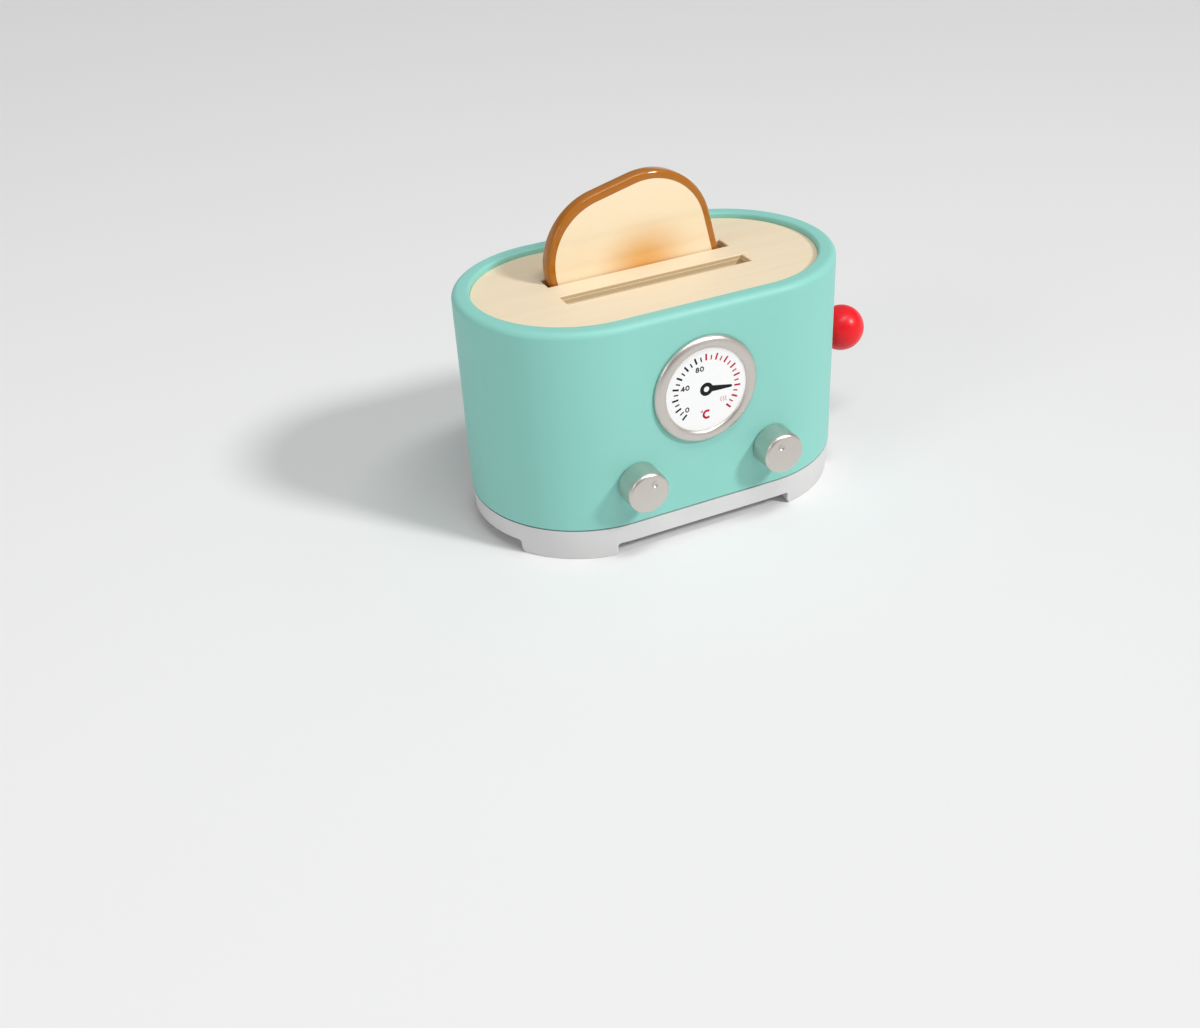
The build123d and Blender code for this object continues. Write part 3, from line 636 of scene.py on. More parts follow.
def plywood_face(finish, figure, pores):
    """The colour of sanded birch: long faint grain, broad patches and fine pores."""
    face_colour = (0.88, 0.74, 0.53, 1)
    pale = (0.905, 0.765, 0.56, 1)
    streak = (0.865, 0.715, 0.50, 1)
    face = finish.blend(finish.between(figure, 0.35, 0.68), pale, streak)
    broad = finish.noise(14, detail=2)
    face = finish.blend(finish.between(broad, 0.3, 0.7, 0, 0.5), face, face_colour)
    return finish.blend(finish.between(pores, 0.62, 0.8, 0, 0.25), face, streak)


def plywood_edge(finish):
    """The colour of its cut edge: layers in turn, with a glue line at each joint."""
    light_layer = (0.97, 0.85, 0.63, 1)
    dark_layer = (0.78, 0.585, 0.33, 1)
    glue = (0.54, 0.36, 0.17, 1)
    thick_layer = 1.7 * MM
    thin_layer = 0.75 * MM
    glue_line = 0.05 * MM
    layer_waver = 0.08 * MM
    sums = finish.math
    _, _, height = finish.split(finish.place)
    waver = finish.between(finish.noise(220), 0, 1, -layer_waver, layer_waver)
    depth = sums("ADD", sums("SUBTRACT", plate_top, height), waver)
    within = sums("MODULO", depth, thick_layer + thin_layer)
    in_thin = sums("GREATER_THAN", within, thick_layer)
    off_joint = sums("ABSOLUTE", sums("SUBTRACT", within, thick_layer))
    off_next = sums("SUBTRACT", thick_layer + thin_layer, within)
    near_joint = sums("LESS_THAN", sums("MINIMUM", off_joint, off_next), glue_line)
    grain = finish.noise(1, vector=finish.stretched((700, 700, 2600)))
    edge = finish.blend(in_thin, dark_layer, light_layer)
    edge = finish.blend(finish.between(grain, 0.35, 0.75, 0, 0.16), edge, glue)
    return finish.blend(near_joint, edge, glue)


def make_plywood():
    """Sanded birch plywood, with layers that show where it is cut."""
    finish = Finish("plywood", Roughness=0.5)
    long_grain = finish.stretched((9, 160, 160))
    figure = finish.noise(1, detail=6, roughness=0.62, vector=long_grain, distortion=0.4)
    pores = finish.noise(1, detail=2, vector=finish.stretched((90, 1600, 1600)))
    _, _, upright = finish.split(finish.add("ShaderNodeNewGeometry").outputs["Normal"])
    on_face = finish.between(upright, 0.5, 0.9)
    finish.colour(finish.blend(on_face, plywood_edge(finish), plywood_face(finish, figure, pores)))
    finish.worn(figure, 0.3, 0.7, 0.46, 0.58)
    finish.relief(finish.math("ADD", figure, finish.math("MULTIPLY", pores, 0.5)), 0.03 * MM)
    return finish.material


def toast_centre():
    """The middle of the slice, worked out from its box and its lean."""
    corner_x = toast_width / 2 - toast_foot_radius
    corner_z = toast_height / 2 - toast_foot_radius
    low = corner_x * sin(toast_tilt) + corner_z * cos(toast_tilt) + toast_foot_radius
    far = corner_x * cos(toast_tilt) + corner_z * sin(toast_tilt) + toast_foot_radius
    return Vector((toast_high.x - far, middle_of("toast")[1], toast_low.z + low))


def distance_inside(finish, upright):
    """How far a place in the slice's own plane is inside its round-cornered outline."""
    sums = finish.math
    a, _, b = finish.split(upright)
    is_top = sums("GREATER_THAN", b, 0.0)
    corner = finish.between(is_top, 0, 1, toast_foot_radius, toast_top_radius)
    past_a, past_b = [
        sums("ADD", sums("SUBTRACT", sums("ABSOLUTE", value), size / 2), corner)
        for value, size in ((a, toast_width), (b, toast_height))
    ]
    flat_part = sums("MINIMUM", sums("MAXIMUM", past_a, past_b), 0.0)
    out_a, out_b = [sums("POWER", sums("MAXIMUM", past, 0.0), 2.0) for past in (past_a, past_b)]
    round_part = sums("SQRT", sums("ADD", out_a, out_b))
    return sums("SUBTRACT", sums("SUBTRACT", corner, flat_part), round_part)


def browning(finish):
    """How brown the crumb is, by the distance from a low middle point."""
    patch_x = middle_of("toast")[0] + 2 * MM
    patch_z = plate_top + 1 * MM
    patch_width = 24 * MM
    patch_height = 20 * MM
    patch_reach = 1.35
    patch_waver = 0.1
    patch_strength = 0.9
    sums = finish.math
    x, _, z = finish.split(finish.place)
    across = sums("DIVIDE", sums("SUBTRACT", x, patch_x), patch_width)
    up = sums("DIVIDE", sums("SUBTRACT", z, patch_z), patch_height)
    far = sums("SQRT", sums("ADD", sums("POWER", across, 2.0), sums("POWER", up, 2.0)))
    far = sums("ADD", far, finish.between(finish.noise(60), 0, 1, -patch_waver, patch_waver))
    return sums("MULTIPLY", finish.between(far, patch_reach, 0.0, kind="SMOOTHSTEP"), patch_strength)


def make_toast_paint():
    """Painted toast: gloss brown crust, cream crumb and a browned patch low in the middle."""
    crust_dark = (0.395, 0.125, 0.004, 1)
    crust_light = (0.48, 0.165, 0.008, 1)
    crumb = (0.96, 0.785, 0.53, 1)
    crumb_pale = (0.98, 0.82, 0.58, 1)
    browned = (0.80, 0.385, 0.07, 1)
    crust_blur = 0.15 * MM
    crust_wobble = 0.25 * MM
    finish = Finish("toast_paint", Specular_IOR_Level=0.05, Coat_Weight=0.9, Coat_Roughness=0.04)
    lean = {"Vector": finish.place, "Location": toast_centre(), "Rotation": (0, -toast_tilt, 0)}
    upright = finish.add("ShaderNodeMapping", lean, vector_type="TEXTURE").outputs["Vector"]
    wobble = finish.between(finish.noise(50), 0, 1, -crust_wobble, crust_wobble)
    edge = finish.math("ADD", distance_inside(finish, upright), wobble)
    inner, outer = crust_width + crust_blur, crust_width - crust_blur
    on_crumb = finish.between(edge, outer, inner, kind="SMOOTHSTEP")
    crumb_tone = finish.blend(finish.noise(45, detail=5), crumb, crumb_pale)
    crumb_tone = finish.blend(browning(finish), crumb_tone, browned)
    crust_tone = finish.blend(finish.noise(120, detail=4), crust_dark, crust_light)
    finish.colour(finish.blend(on_crumb, crust_tone, crumb_tone))
    finish.worn(on_crumb, 0, 1, 0.2, 0.45)
    finish.relief(finish.noise(500, detail=2), 0.01 * MM)
    return finish.material


def make_board():
    """Printed circuit board: green lacquer over copper tracks."""
    finish = Finish("board_lacquer", Roughness=0.3)
    pattern = {"distance": "MANHATTAN", "feature": "DISTANCE_TO_EDGE"}
    cells = finish.add("ShaderNodeTexVoronoi", {"Vector": finish.place, "Scale": 260.0}, **pattern)
    track = finish.between(cells.outputs["Distance"], 0.06, 0.09)
    finish.colour(finish.blend(track, (0.05, 0.36, 0.14, 1), (0.015, 0.17, 0.06, 1)))
    finish.relief(track, -0.03 * MM)
    return finish.material


def make_coil():
    """Enamelled copper wire, wound in close turns, with painted shade in the grooves between turns and
    a painted highlight on their crests.
    """
    wire = 0.35 * MM
    finish = Finish("copper_windings", Metallic=1.0, Roughness=0.3)
    _, _, height = finish.split(finish.place)
    turns = finish.math("SINE", finish.math("MULTIPLY", height, 2 * pi / wire))
    groove_and_painted_shade = finish.between(turns, -1, 1)
    # painted shade: darker in each groove between turns, with a painted highlight on each crest; the
    # same pattern also drives the bump
    finish.colour(finish.blend(groove_and_painted_shade, (0.30, 0.09, 0.03, 1), (0.78, 0.34, 0.15, 1)))
    finish.relief(groove_and_painted_shade, 0.1 * MM)
    return finish.material


card_look = {"variation": 0.006, "grain": 3000, "depth": 0.004 * MM, "Specular_IOR_Level": 0.15}
lacquer_look = {"variation": 0.02, "grain": 600, "Specular_IOR_Level": 0.3}
lacquer_coat = {"Coat_Weight": 0.12, "Coat_Roughness": 0.15}
black_ink = ink("black_ink", (0.008, 0.008, 0.009, 1))
red_ink = ink("red_ink", (0.50, 0.006, 0.035, 1))
turquoise = painted("turquoise_paint", (0.27, 0.645, 0.57, 1), 0.5, variation=0.012)
base_grey = moulded("base_grey", (0.71, 0.705, 0.70, 1), 0.5, Specular_IOR_Level=0.35)
silver = satin("satin_silver", (0.66, 0.615, 0.57, 1), 0.35)
dial_white = painted("dial_card", (0.93, 0.93, 0.93, 1), 0.45, **card_look)
ball_red = painted("red_lacquer", (0.88, 0.006, 0.014, 1), 0.36, **lacquer_look, **lacquer_coat)
inner_white = moulded("inner_plastic", (0.62, 0.62, 0.60, 1), 0.5)
black_plastic = moulded("black_plastic", (0.02, 0.02, 0.021, 1), 0.42)
speaker_card = moulded("speaker_card", (0.03, 0.03, 0.03, 1), 0.85, grain=4000, depth=0.05 * MM)
ground_steel = metal("ground_steel", (0.58, 0.58, 0.59, 1), 0.28, brush=(1, 1, 0.06))
plated_steel = metal("plated_steel", (0.50, 0.50, 0.51, 1), 0.36, brush=(0.08, 1, 1))
plain_steel = metal("plain_steel", (0.36, 0.36, 0.37, 1), 0.42)
screw_steel = metal("screw_steel", (0.52, 0.52, 0.53, 1), 0.3)
brass = metal("contact_brass", (0.72, 0.52, 0.22, 1), 0.3, brush=(1, 1, 0.1))
nickel = metal("nickel_plate", (0.68, 0.67, 0.65, 1), 0.22)

node_finishes = (
    (turquoise, ["housing"]),
    (base_grey, ["base", "battery_door"]),
    (silver, ["dial_bezel", "left_knob", "right_knob"]),
    (dial_white, ["dial_face"]),
    (ball_red, ["lever_ball"]),
    (make_toast_paint(), ["toast"]),
    (make_plywood(), ["top_plate"]),
    (make_board(), ["circuit_board"]),
    (make_coil(), ["magnet_coil"]),
    (inner_white, ["bread_chute", "dial_back", "carriage", "left_knob_washer", "right_knob_washer"]),
    (black_plastic, ["board_parts", "contact_block"]),
    (speaker_card, ["speaker_cone"]),
    (ground_steel, ["guide_rods", "return_springs", "lever_arm"]),
    (plated_steel, ["front_rack", "rear_rack"]),
    (plain_steel, ["speaker_frame", "magnet_yoke", "armature_plate"]),
    (screw_steel, ["plate_screws", "chute_screws", "base_screws", "door_screws", "board_screws"]),
    (screw_steel, ["rack_screws", "left_knob_screw", "right_knob_screw"]),
    (brass, ["contact_blades"]),
    (nickel, ["cell_plates", "cell_springs"]),
)
finish_of = {node: material for material, names in node_finishes for node in names}
for node, material in finish_of.items():
    paint(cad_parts[node].data, material)


# ---- Housing ----


def shell_profile(ledge_bottom):
    """The shell's section: its wall, the rolled rim, the ledge under the plate and the rim's core."""
    inner = end_radius - wall
    well = end_radius - rim_width
    ledge = well - ledge_width
    core = well + rim_core_wall
    outer_roll = (end_radius - rim_outer_radius, rim_top - rim_outer_radius)
    inner_roll = (well + rim_inner_radius, rim_top - rim_inner_radius)
    return [
        (inner, shell_bottom),
        (end_radius - joint_gap, shell_bottom),
        (end_radius, shell_bottom + joint_gap),
        *arc(outer_roll, rim_outer_radius, 0, 90, 12),
        *arc(inner_roll, rim_inner_radius, 90, 180, 8),
        (well, plate_bottom),
        (ledge, plate_bottom),
        (ledge, ledge_bottom),
        (core, ledge_bottom),
        (core, rim_top - rim_roof),
        (inner, rim_top - rim_roof),
        (inner, shell_bottom),
    ]


def make_housing():
    """The turquoise shell: its section is turned, pulled apart to its length, given its screw posts
    and knob collars, and cut for the dial, the knobs and the lever."""
    ledge_bottom = plate_bottom - ledge_thickness
    shell = turn("housing_shell", shell_profile(ledge_bottom), ground, Z, shell_steps)
    pull_apart(shell, run)
    base_spots = spots("base_screws", base_screw_head[0])
    ear_spots = spots("plate_screws", base_screw_head[0])
    knob_spots = [on_front(f"{side}_knob", wall / 2) for side in ("left", "right")]
    collar = rod("collars", knob_spots[0], Y, knob_collar_radius, wall / 2 + knob_collar_length)
    weld(
        shell,
        posts(base_spots, post_radius, shell_bottom + lap, shell_bottom + post_height),
        posts(ear_spots, ear_radius, ledge_bottom + lap, plate_bottom - lap),
        repeat(collar, knob_spots),
    )
    stem_hole = rod("stem_holes", knob_spots[0] - Y * 2 * wall, Y, knob_stem_radius, 4 * wall)
    holes = [
        posts(base_spots, pilot_radius, shell_bottom - MM, shell_bottom + post_height - wall),
        posts(ear_spots, clearance_radius, ledge_bottom - MM, plate_bottom + MM),
        rod("dial_hole", dial_centre - Y * wall, Y, dial_spigot_radius, 3 * wall),
        repeat(stem_hole, knob_spots),
        make_lever_slot_cutter(),
    ]
    return smooth(cut(shell, join("holes", holes)))


def make_lever_slot_cutter():
    """The lever's slot as a cutter, wider at its mouth so that it leaves a chamfer."""
    top = middle_of("lever_ball")[2]
    bottom = top - lever_travel
    end = body_x + half_length

    def slot_outline(x):
        upper = arc((0, top), lever_slot_radius, 0, 180, 24)
        lower = arc((0, bottom), lever_slot_radius, 180, 360, 24)
        return [Vector((x, body_y + y, z)) for y, z in (*upper, *lower)]

    cutter = extruded("lever_slot", slot_outline(end - 3 * wall), X * 4 * wall)
    mouth = draw_line("lever_slot_mouth", slot_outline(end - lever_slot_chamfer))
    bpy.ops.mesh.edge_face_add()
    extrude(X * 2 * lever_slot_chamfer)
    widen = 1 + 2 * lever_slot_chamfer / lever_slot_radius
    stretch = 1 + 2 * lever_slot_chamfer / (lever_slot_radius + lever_travel / 2)
    middle = (end, body_y, (top + bottom) / 2)
    bpy.ops.transform.resize(value=(1, widen, stretch), center_override=middle)
    return weld(cutter, close_up(mouth))


dial_centre = Vector((body_x, front, middle_of("dial_bezel")[2]))
stand_in(make_housing(), "housing", "toaster_body")


# ---- Base ----


def tray_profile():
    """The tray's section: its floor, the lip that locates the housing, its wall and its feet."""
    inner = end_radius - wall
    lip_outer = inner - lip_clearance
    lip_inner = lip_outer - lip_thickness
    foot_outer = end_radius - draft_inset
    foot_inner = foot_outer - foot_width
    top = shell_bottom
    return [
        (0, floor_top),
        (inner, floor_top),
        (inner, top - lip_height),
        (lip_inner, top - lip_height),
        (lip_inner, top + lip_height),
        (lip_outer, top + lip_height),
        (lip_outer, top),
        (end_radius - joint_groove, top),
        (end_radius - joint_groove, top - joint_gap),
        (end_radius - joint_gap, top - joint_gap),
        (end_radius - draft_inset * joint_chamfer / top, top - joint_chamfer),
        (foot_outer + draft_inset * foot_edge_round / top, foot_edge_round),
        (foot_outer - foot_edge_middle, foot_edge_middle),
        (foot_outer - foot_edge_round, 0),
        (foot_inner, 0),
        (foot_inner, floor_height),
        (0, floor_height),
    ]


def block(name, half_x, half_y, low, high):
    """A block over the middle of the base, between two heights."""
    half = Vector((half_x, half_y, 0))
    return bar(name, ground - half + Z * low, ground + half + Z * high)


def make_notch(name, half_width, along, across):
    """A cutter for the notch between the feet, right through the base. It is round at its top
    corners and flared at the feet's rounded corners."""
    reach = 2 * half_length
    flare_middle = (half_width + foot_corner_radius, foot_corner_radius)
    flare = arc(flare_middle, foot_corner_radius, flare_start, 180, 8)
    top_middle = (half_width - notch_radius, floor_height - notch_radius)
    foot = (flare[0][0], -2 * foot_corner_radius)
    right = [foot, *flare, *arc(top_middle, notch_radius, 0, 90, 8)]
    left = [(-a, b) for a, b in reversed(right)]
    outline = [ground + across * a - along * reach + Z * b for a, b in (*right, *left)]
    return extruded(name, outline, along * 2 * reach)


def make_screw_holes(places):
    """A cutter for the base screws' stepped holes, with room for the housing's posts above them."""
    seat = shell_bottom - lap / 2
    clear = shell_bottom + 2 * lip_height
    room = post_radius + lip_clearance
    profile = [
        (0, -MM),
        (counterbore_radius, -MM),
        (counterbore_radius, counterbore_depth),
        (clearance_radius, counterbore_depth),
        (clearance_radius, seat),
        (room, seat),
        (room, clear),
        (0, clear),
    ]
    return repeat(turn("screw_holes", profile, places[0], Z, small_steps), places)


def make_base():
    """The grey tray with its four feet, the battery bay, the speaker holes and what stands inside."""
    tray = turn("base_tray", tray_profile(), ground, Z, shell_steps)
    pull_apart(tray, run)
    base_spots = spots("base_screws", base_screw_head[0])
    door_spots = spots("door_screws", door_screw_head[0])
    board_spots = spots("circuit_board", board_screw_inset)
    board_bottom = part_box("circuit_board")[0].z
    rod_radius = half_of("guide_rods")[0]
    rod_spots = spots("guide_rods", rod_radius)
    door_x, door_y = [half + door_gap for half in half_of("battery_door")[:2]]
    bay_roof = door_top + bay_height
    boss_top = door_top + door_screw_shank[1]
    bay_x, bay_y = bay_length / 2, bay_width / 2
    door_rim = block("door_rim", door_x + bay_wall, door_y + bay_wall, buried, door_top + bay_wall)
    speaker = Vector((*middle_of("speaker_frame")[:2], floor_height))
    ring_inner = half_of("speaker_frame")[0] + speaker_fit
    ring_outer = ring_inner + speaker_rib
    ring_low, ring_high = floor_thickness / 2, floor_thickness + speaker_rib_height
    ring = tube("speaker_ring", speaker, Z, ring_inner, ring_outer, ring_low, ring_high, bar_steps)
    weld(
        tray,
        posts(base_spots, post_radius, buried, shell_bottom - lap),
        round_corners(door_rim, Z, door_corner),
        posts(door_spots, door_boss_radius, buried, boss_top + bay_wall),
        block("bay", bay_x + bay_wall, bay_y + bay_wall, buried, bay_roof + bay_wall),
        posts(board_spots, board_post_radius, buried, board_bottom),
        posts(rod_spots, rod_radius + rod_seat_wall, buried, floor_top + rod_seat_height),
        ring,
    )
    turns = [2 * pi * i / speaker_hole_count for i in range(speaker_hole_count)]
    swings = [Matrix.Rotation(angle, 3, Z) @ X * speaker_hole_circle for angle in turns]
    sound_spots = [speaker, *[speaker + swing for swing in swings]]
    holes = [
        make_screw_holes(base_spots),
        posts(board_spots, board_pilot_radius, floor_top, board_bottom + MM),
        posts(rod_spots, rod_radius + rod_seat_fit, floor_top, floor_top + 2 * rod_seat_height),
        posts(sound_spots, speaker_hole_radius, floor_height - MM, floor_top + MM),
        posts(door_spots, door_screw_shank[0] + pilot_fit, door_top - lap, boss_top),
    ]
    cut(
        tray,
        make_notch("front_notch", half_length - foot_front_run, Y, X),
        make_notch("end_notch", end_radius - foot_end_run, X, Y),
        round_corners(block("recess", door_x, door_y, -floor_height, door_top), Z, door_corner),
        block("bay_cavity", bay_x, bay_y, 0, bay_roof),
        join("holes", holes),
    )
    return smooth(tray)


def make_cross_recess(place, reach):
    """A cutter for the cross in a screw's head, narrower towards its floor."""
    arms = []
    for along, across in ((X, Y), (Y, X)):
        half = along * reach + across * recess_width / 2 + Z * recess_depth
        arm = bar("recess_arm", place - half, place + half)
        edit(arm)
        select(arm, "VERT", lambda point: point.co.z > place.z)
        middle = place + Z * recess_depth
        bpy.ops.transform.resize(value=(recess_taper,) * 3, center_override=middle)
        arms.append(leave(arm))
    return weld(*arms)


def make_screw(place, head_radius, head_height, shank_radius, length):
    """A pan-headed screw driven upwards, with its head below the place and its shank above it."""
    edge = screw_edge_share * head_height
    tip = shank_radius / 2
    profile = [
        (0, -head_height),
        *arc((head_radius - edge, edge - head_height), edge, -90, 0, 6),
        (head_radius, 0),
        (shank_radius, 0),
        (shank_radius, length - tip),
        (shank_radius - tip, length),
        (0, length),
    ]
    screw = turn("screw", profile, place, Z, small_steps)
    return cut(screw, make_cross_recess(place - Z * head_height, recess_share * head_radius))


def make_screw_set(node, body, head, shank, height):
    """A set of screws at a node's places: one modelled, and the rest copied from it."""
    places = [spot + Z * height for spot in spots(node, head[0])]
    screws = repeat(make_screw(places[0], *head, *shank), places)
    smooth(named(screws, node.replace("screws", "screw_set")), 35)
    stand_in(screws, node, body)


door_seat = floor_height + door_screw_head[1]
stand_in(make_base(), "base", "toaster_body")
make_screw_set("base_screws", "toaster_body", base_screw_head, base_screw_shank, counterbore_depth)
make_screw_set("door_screws", "battery_cover", door_screw_head, door_screw_shank, door_seat)


# ---- Dial ----


def make_bezel():
    """The silver ring, half round in front, with its spigot in the housing."""
    radius = half_of("dial_bezel")[2]
    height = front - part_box("dial_bezel")[0].y
    window_lip = (dial_window_radius, dial_lip / 2)
    inner_side = bezel_crest - dial_window_radius
    outer_side = radius - bezel_crest
    profile = [
        window_lip,
        *oval((bezel_crest, dial_lip), inner_side, height - dial_lip, 180, 90, 12),
        *oval((bezel_crest, bezel_skirt), outer_side, height - bezel_skirt, 90, 0, 18),
        (radius, bezel_gap),
        (radius - bezel_step, bezel_gap),
        (radius - bezel_step, 0),
        (dial_spigot_radius, 0),
        (dial_spigot_radius, -wall),
        (dial_window_radius + MM, -wall),
        (dial_window_radius + MM, dial_lip / 2),
        window_lip,
    ]
    return smooth(turn("bezel_ring", profile, dial_centre, -Y, trim_steps))


def on_card(across, up, depth=0):
    """A place on the dial's face, or a depth under it, by its distances from the dial's middle."""
    face_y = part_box("dial_face")[0].y
    return Vector((dial_centre.x + across, face_y + depth, dial_centre.z + up))


def printed(name, outline):
    """A flat shape of raised ink, rooted a hair under the dial's face."""
    card = [on_card(a, b, ink_thickness) for a, b in outline]
    return extruded(name, card, -Y * 2 * ink_thickness)


def make_mark(length, width):
    """One scale mark at the right of the dial, a thin raised strip of ink."""
    middle = on_card(scale_inner + length / 2, 0)
    reach = Vector((length / 2, ink_thickness, width / 2))
    return round_corners(bar("mark", middle - reach, middle + reach), Y, mark_corner)


def make_marks(name, first, last):
    """A run of scale marks, long and short in turn, copied round the dial from one of each."""
    patterns = [make_mark(*long_mark), make_mark(*short_mark)]
    there, back = Matrix.Translation(dial_centre), Matrix.Translation(-dial_centre)
    marks = []
    for i in range(first, last):
        mark = copy_of(patterns[i % 2])
        angle = scale_start - scale_sweep * i / (scale_marks - 1)
        mark.matrix_world = there @ Matrix.Rotation(-radians(angle), 4, Y) @ back
        marks.append(settle(mark))
    for pattern in patterns:
        bpy.data.objects.remove(pattern)
    return join(name, marks)


def stroke(points):
    """A round-ended pen stroke through points of the dial."""
    half = digit_stroke / 2
    steps = list(zip(points, points[1:]))
    headings = [atan2(there[1] - here[1], there[0] - here[0]) for here, there in steps]
    right = []
    left = []
    for i, (a, b) in enumerate(points):
        before = headings[max(i - 1, 0)]
        after = headings[min(i, len(headings) - 1)]
        bend = (after - before + pi) % (2 * pi) - pi
        side = before + bend / 2 - pi / 2
        reach = half / cos(bend / 2)
        right.append((a + reach * cos(side), b + reach * sin(side)))
        left.append((a - reach * cos(side), b - reach * sin(side)))
    end, start = degrees(headings[-1]), degrees(headings[0])
    end_cap = arc(points[-1], half, end - 90, end + 90, 8)[1:-1]
    start_cap = arc(points[0], half, start + 90, start + 270, 8)[1:-1]
    return printed("stroke", [*right, *end_cap, *reversed(left), *start_cap])


def loop_stroke(across, up, half_width, half_height):
    """A closed oval pen stroke."""
    half = digit_stroke / 2
    rim, hole = [
        oval((across, up), half_width + grow, half_height + grow, 0, 360, 40)[:-1]
        for grow in (half, -half)
    ]
    deep = [on_card(a, b, 2 * ink_thickness) for a, b in hole]
    return cut(printed("loop", rim), extruded("loop_hole", deep, -Y * 4 * ink_thickness))


def draw_digit(digit, across, up):
    """The strokes of one digit, a 0, an 8 or a 4, centred on a place."""
    half = (digit_height - digit_stroke) / 2
    if digit == "0":
        return [loop_stroke(across, up, zero_width * half, half)]
    if digit == "8":
        upper = eight_upper_height * half
        lower = half - upper
        return [
            loop_stroke(across, up + half - upper, eight_upper_width * half, upper),
            loop_stroke(across, up - half + lower, eight_lower_width * half, lower),
        ]
    stem = across + four_stem * half
    bar_up = up - four_bar * half
    reach = four_reach * half
    return [
        stroke([(stem, up - half), (stem, up + half)]),
        stroke([(stem, up + half), (across - reach, bar_up), (stem, bar_up)]),
        stroke([(stem, bar_up), (across + reach, bar_up)]),
    ]


def make_number(place, digits, across, up):
    """A number printed upright on the dial, centred on a place."""
    strokes = []
    for i, digit in enumerate(digits):
        shift = (i - (len(digits) - 1) / 2) * digit_pitch
        strokes.extend(draw_digit(digit, across + shift, up))
    return named(weld(*strokes), f"dial_number_{place}")


def make_pointer():
    """The printed pointer: a ring round the middle and a tapered hand to the hot end."""
    hub_outer = 3.5 * MM
    hub_inner = 1.45 * MM
    tip_radius = 0.72 * MM
    tip_reach = 13.5 * MM
    root_half_width = 1.7 * MM
    root_reach = 2.4 * MM
    droop = radians(6.4)
    rise = (-ink_thickness, ink_thickness)
    hub = tube("dial_pointer", on_card(0, 0), -Y, hub_inner, hub_outer, *rise, small_steps)
    tip = arc((tip_reach, 0), tip_radius, -90, 90, 10)
    flat = [(root_reach, -root_half_width), *tip, (root_reach, root_half_width)]
    turned = [Matrix.Rotation(-droop, 2) @ Vector(point) for point in flat]
    return weld(hub, printed("pointer_hand", turned))


def make_heat_waves():
    """Three short wavy strokes by the hot end, copied from the first."""
    wave_height = 2.5 * MM
    wave_swing = 0.26 * MM
    wave_stroke = 0.3 * MM
    wave_pitch = 1.3 * MM
    wave_bends = 1.5
    wave_radius = 11.8 * MM
    wave_angle = radians(-38.8)
    steps = 16
    across = wave_radius * cos(wave_angle) - wave_stroke / 2
    middle = on_card(across, wave_radius * sin(wave_angle), ink_thickness)
    places = [middle + X * wave_pitch * shift for shift in (-1, 0, 1)]
    points = []
    for i in range(steps + 1):
        share = i / steps
        sway = wave_swing * sin(2 * pi * wave_bends * share)
        points.append(places[0] + X * sway + Z * (share - 0.5) * wave_height)
    wave = draw_line("dial_heat_waves", points)
    extrude(X * wave_stroke)
    bpy.ops.mesh.select_all(action="SELECT")
    extrude(-Y * 2 * ink_thickness)
    return repeat(close_up(wave), places)


def make_unit():
    """The degree sign and the C of the scale's unit, drawn as a ring and an open ring."""
    unit_across = 0.2 * MM
    unit_up = -13.6 * MM
    c_outer = 2.5 * MM
    c_inner = 1.3 * MM
    c_mouth = 50
    sign_inner = 0.3 * MM
    sign_outer = 0.6 * MM
    sign_across = -2.9 * MM
    sign_up = 2.1 * MM
    middle = (unit_across, unit_up)
    outer_side = arc(middle, c_outer, c_mouth, 360 - c_mouth, 48)
    inner_side = arc(middle, c_inner, 360 - c_mouth, c_mouth, 48)
    letter = printed("dial_unit", [*outer_side, *inner_side])
    sign_middle = on_card(unit_across + sign_across, unit_up + sign_up, ink_thickness)
    rise = (0, 2 * ink_thickness)
    sign = tube("degree_sign", sign_middle, -Y, sign_inner, sign_outer, *rise, sign_steps)
    return join("dial_unit", [letter, sign])


stand_in(make_bezel(), "dial_bezel", "toaster_body")
black_marks = make_marks("dial_marks_black", 0, first_red_mark)
red_marks = make_marks("dial_marks_red", first_red_mark, scale_marks)
numbers = [make_number(place, *number) for place, number in number_places.items()]
for piece in (black_marks, *numbers, make_pointer()):
    dress(piece, "toaster_body", black_ink)
for piece in (red_marks, make_unit(), make_heat_waves()):
    dress(piece, "toaster_body", red_ink)


# ---- Knobs, lever and ball ----


def make_dimple(side, angle, reach, face_radius):
    """A bowl-shaped cutter for the dimple, sunk from the crowned face."""
    angle = radians(angle)
    place = on_front(f"{side}_knob") + (X * cos(angle) + Z * sin(angle)) * knob_dimple_offset
    place.y = front - reach + knob_crown * (knob_dimple_offset / face_radius) ** 2
    shares = [i / bowl_steps for i in range(bowl_steps + 1)]
    bowl = [(knob_dimple_radius * share, -knob_dimple_depth * (1 - share**2)) for share in shares]
    profile = [*bowl, (knob_dimple_radius, MM), (0, MM)]
    return turn(f"{side}_dimple", profile, place, -Y, hole_steps)


def make_knob(side, dimple_angle):
    """A turned knob with a crowned face, a rounded edge and a dimple."""
    node = f"{side}_knob"
    low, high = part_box(node)
    radius = half_of(node)[0]
    reach = front - low.y
    inner_end = front - high.y
    face_radius = radius - knob_edge_radius
    edge_middle = (face_radius, reach - knob_crown - knob_edge_radius)
    # the crown is a shallow dome that meets the rounded edge
    crown_radius = (face_radius**2 + knob_crown**2) / (2 * knob_crown)
    crown_angle = degrees(acos(1 - knob_crown / crown_radius))
    crown_middle = (0, reach - crown_radius)
    profile = [
        (0, inner_end),
        (knob_stem_radius, inner_end),
        (knob_stem_radius, knob_gap),
        (radius - knob_back_chamfer, knob_gap),
        (radius, knob_gap + knob_back_chamfer),
        *arc(edge_middle, knob_edge_radius, 0, 90, 12),
        *arc(crown_middle, crown_radius, 90 - crown_angle, 90, 12)[1:],
    ]
    knob = turn(f"{node}_cap", profile, on_front(node), -Y, trim_steps)
    return smooth(cut(knob, make_dimple(side, dimple_angle, reach, face_radius)), 40)


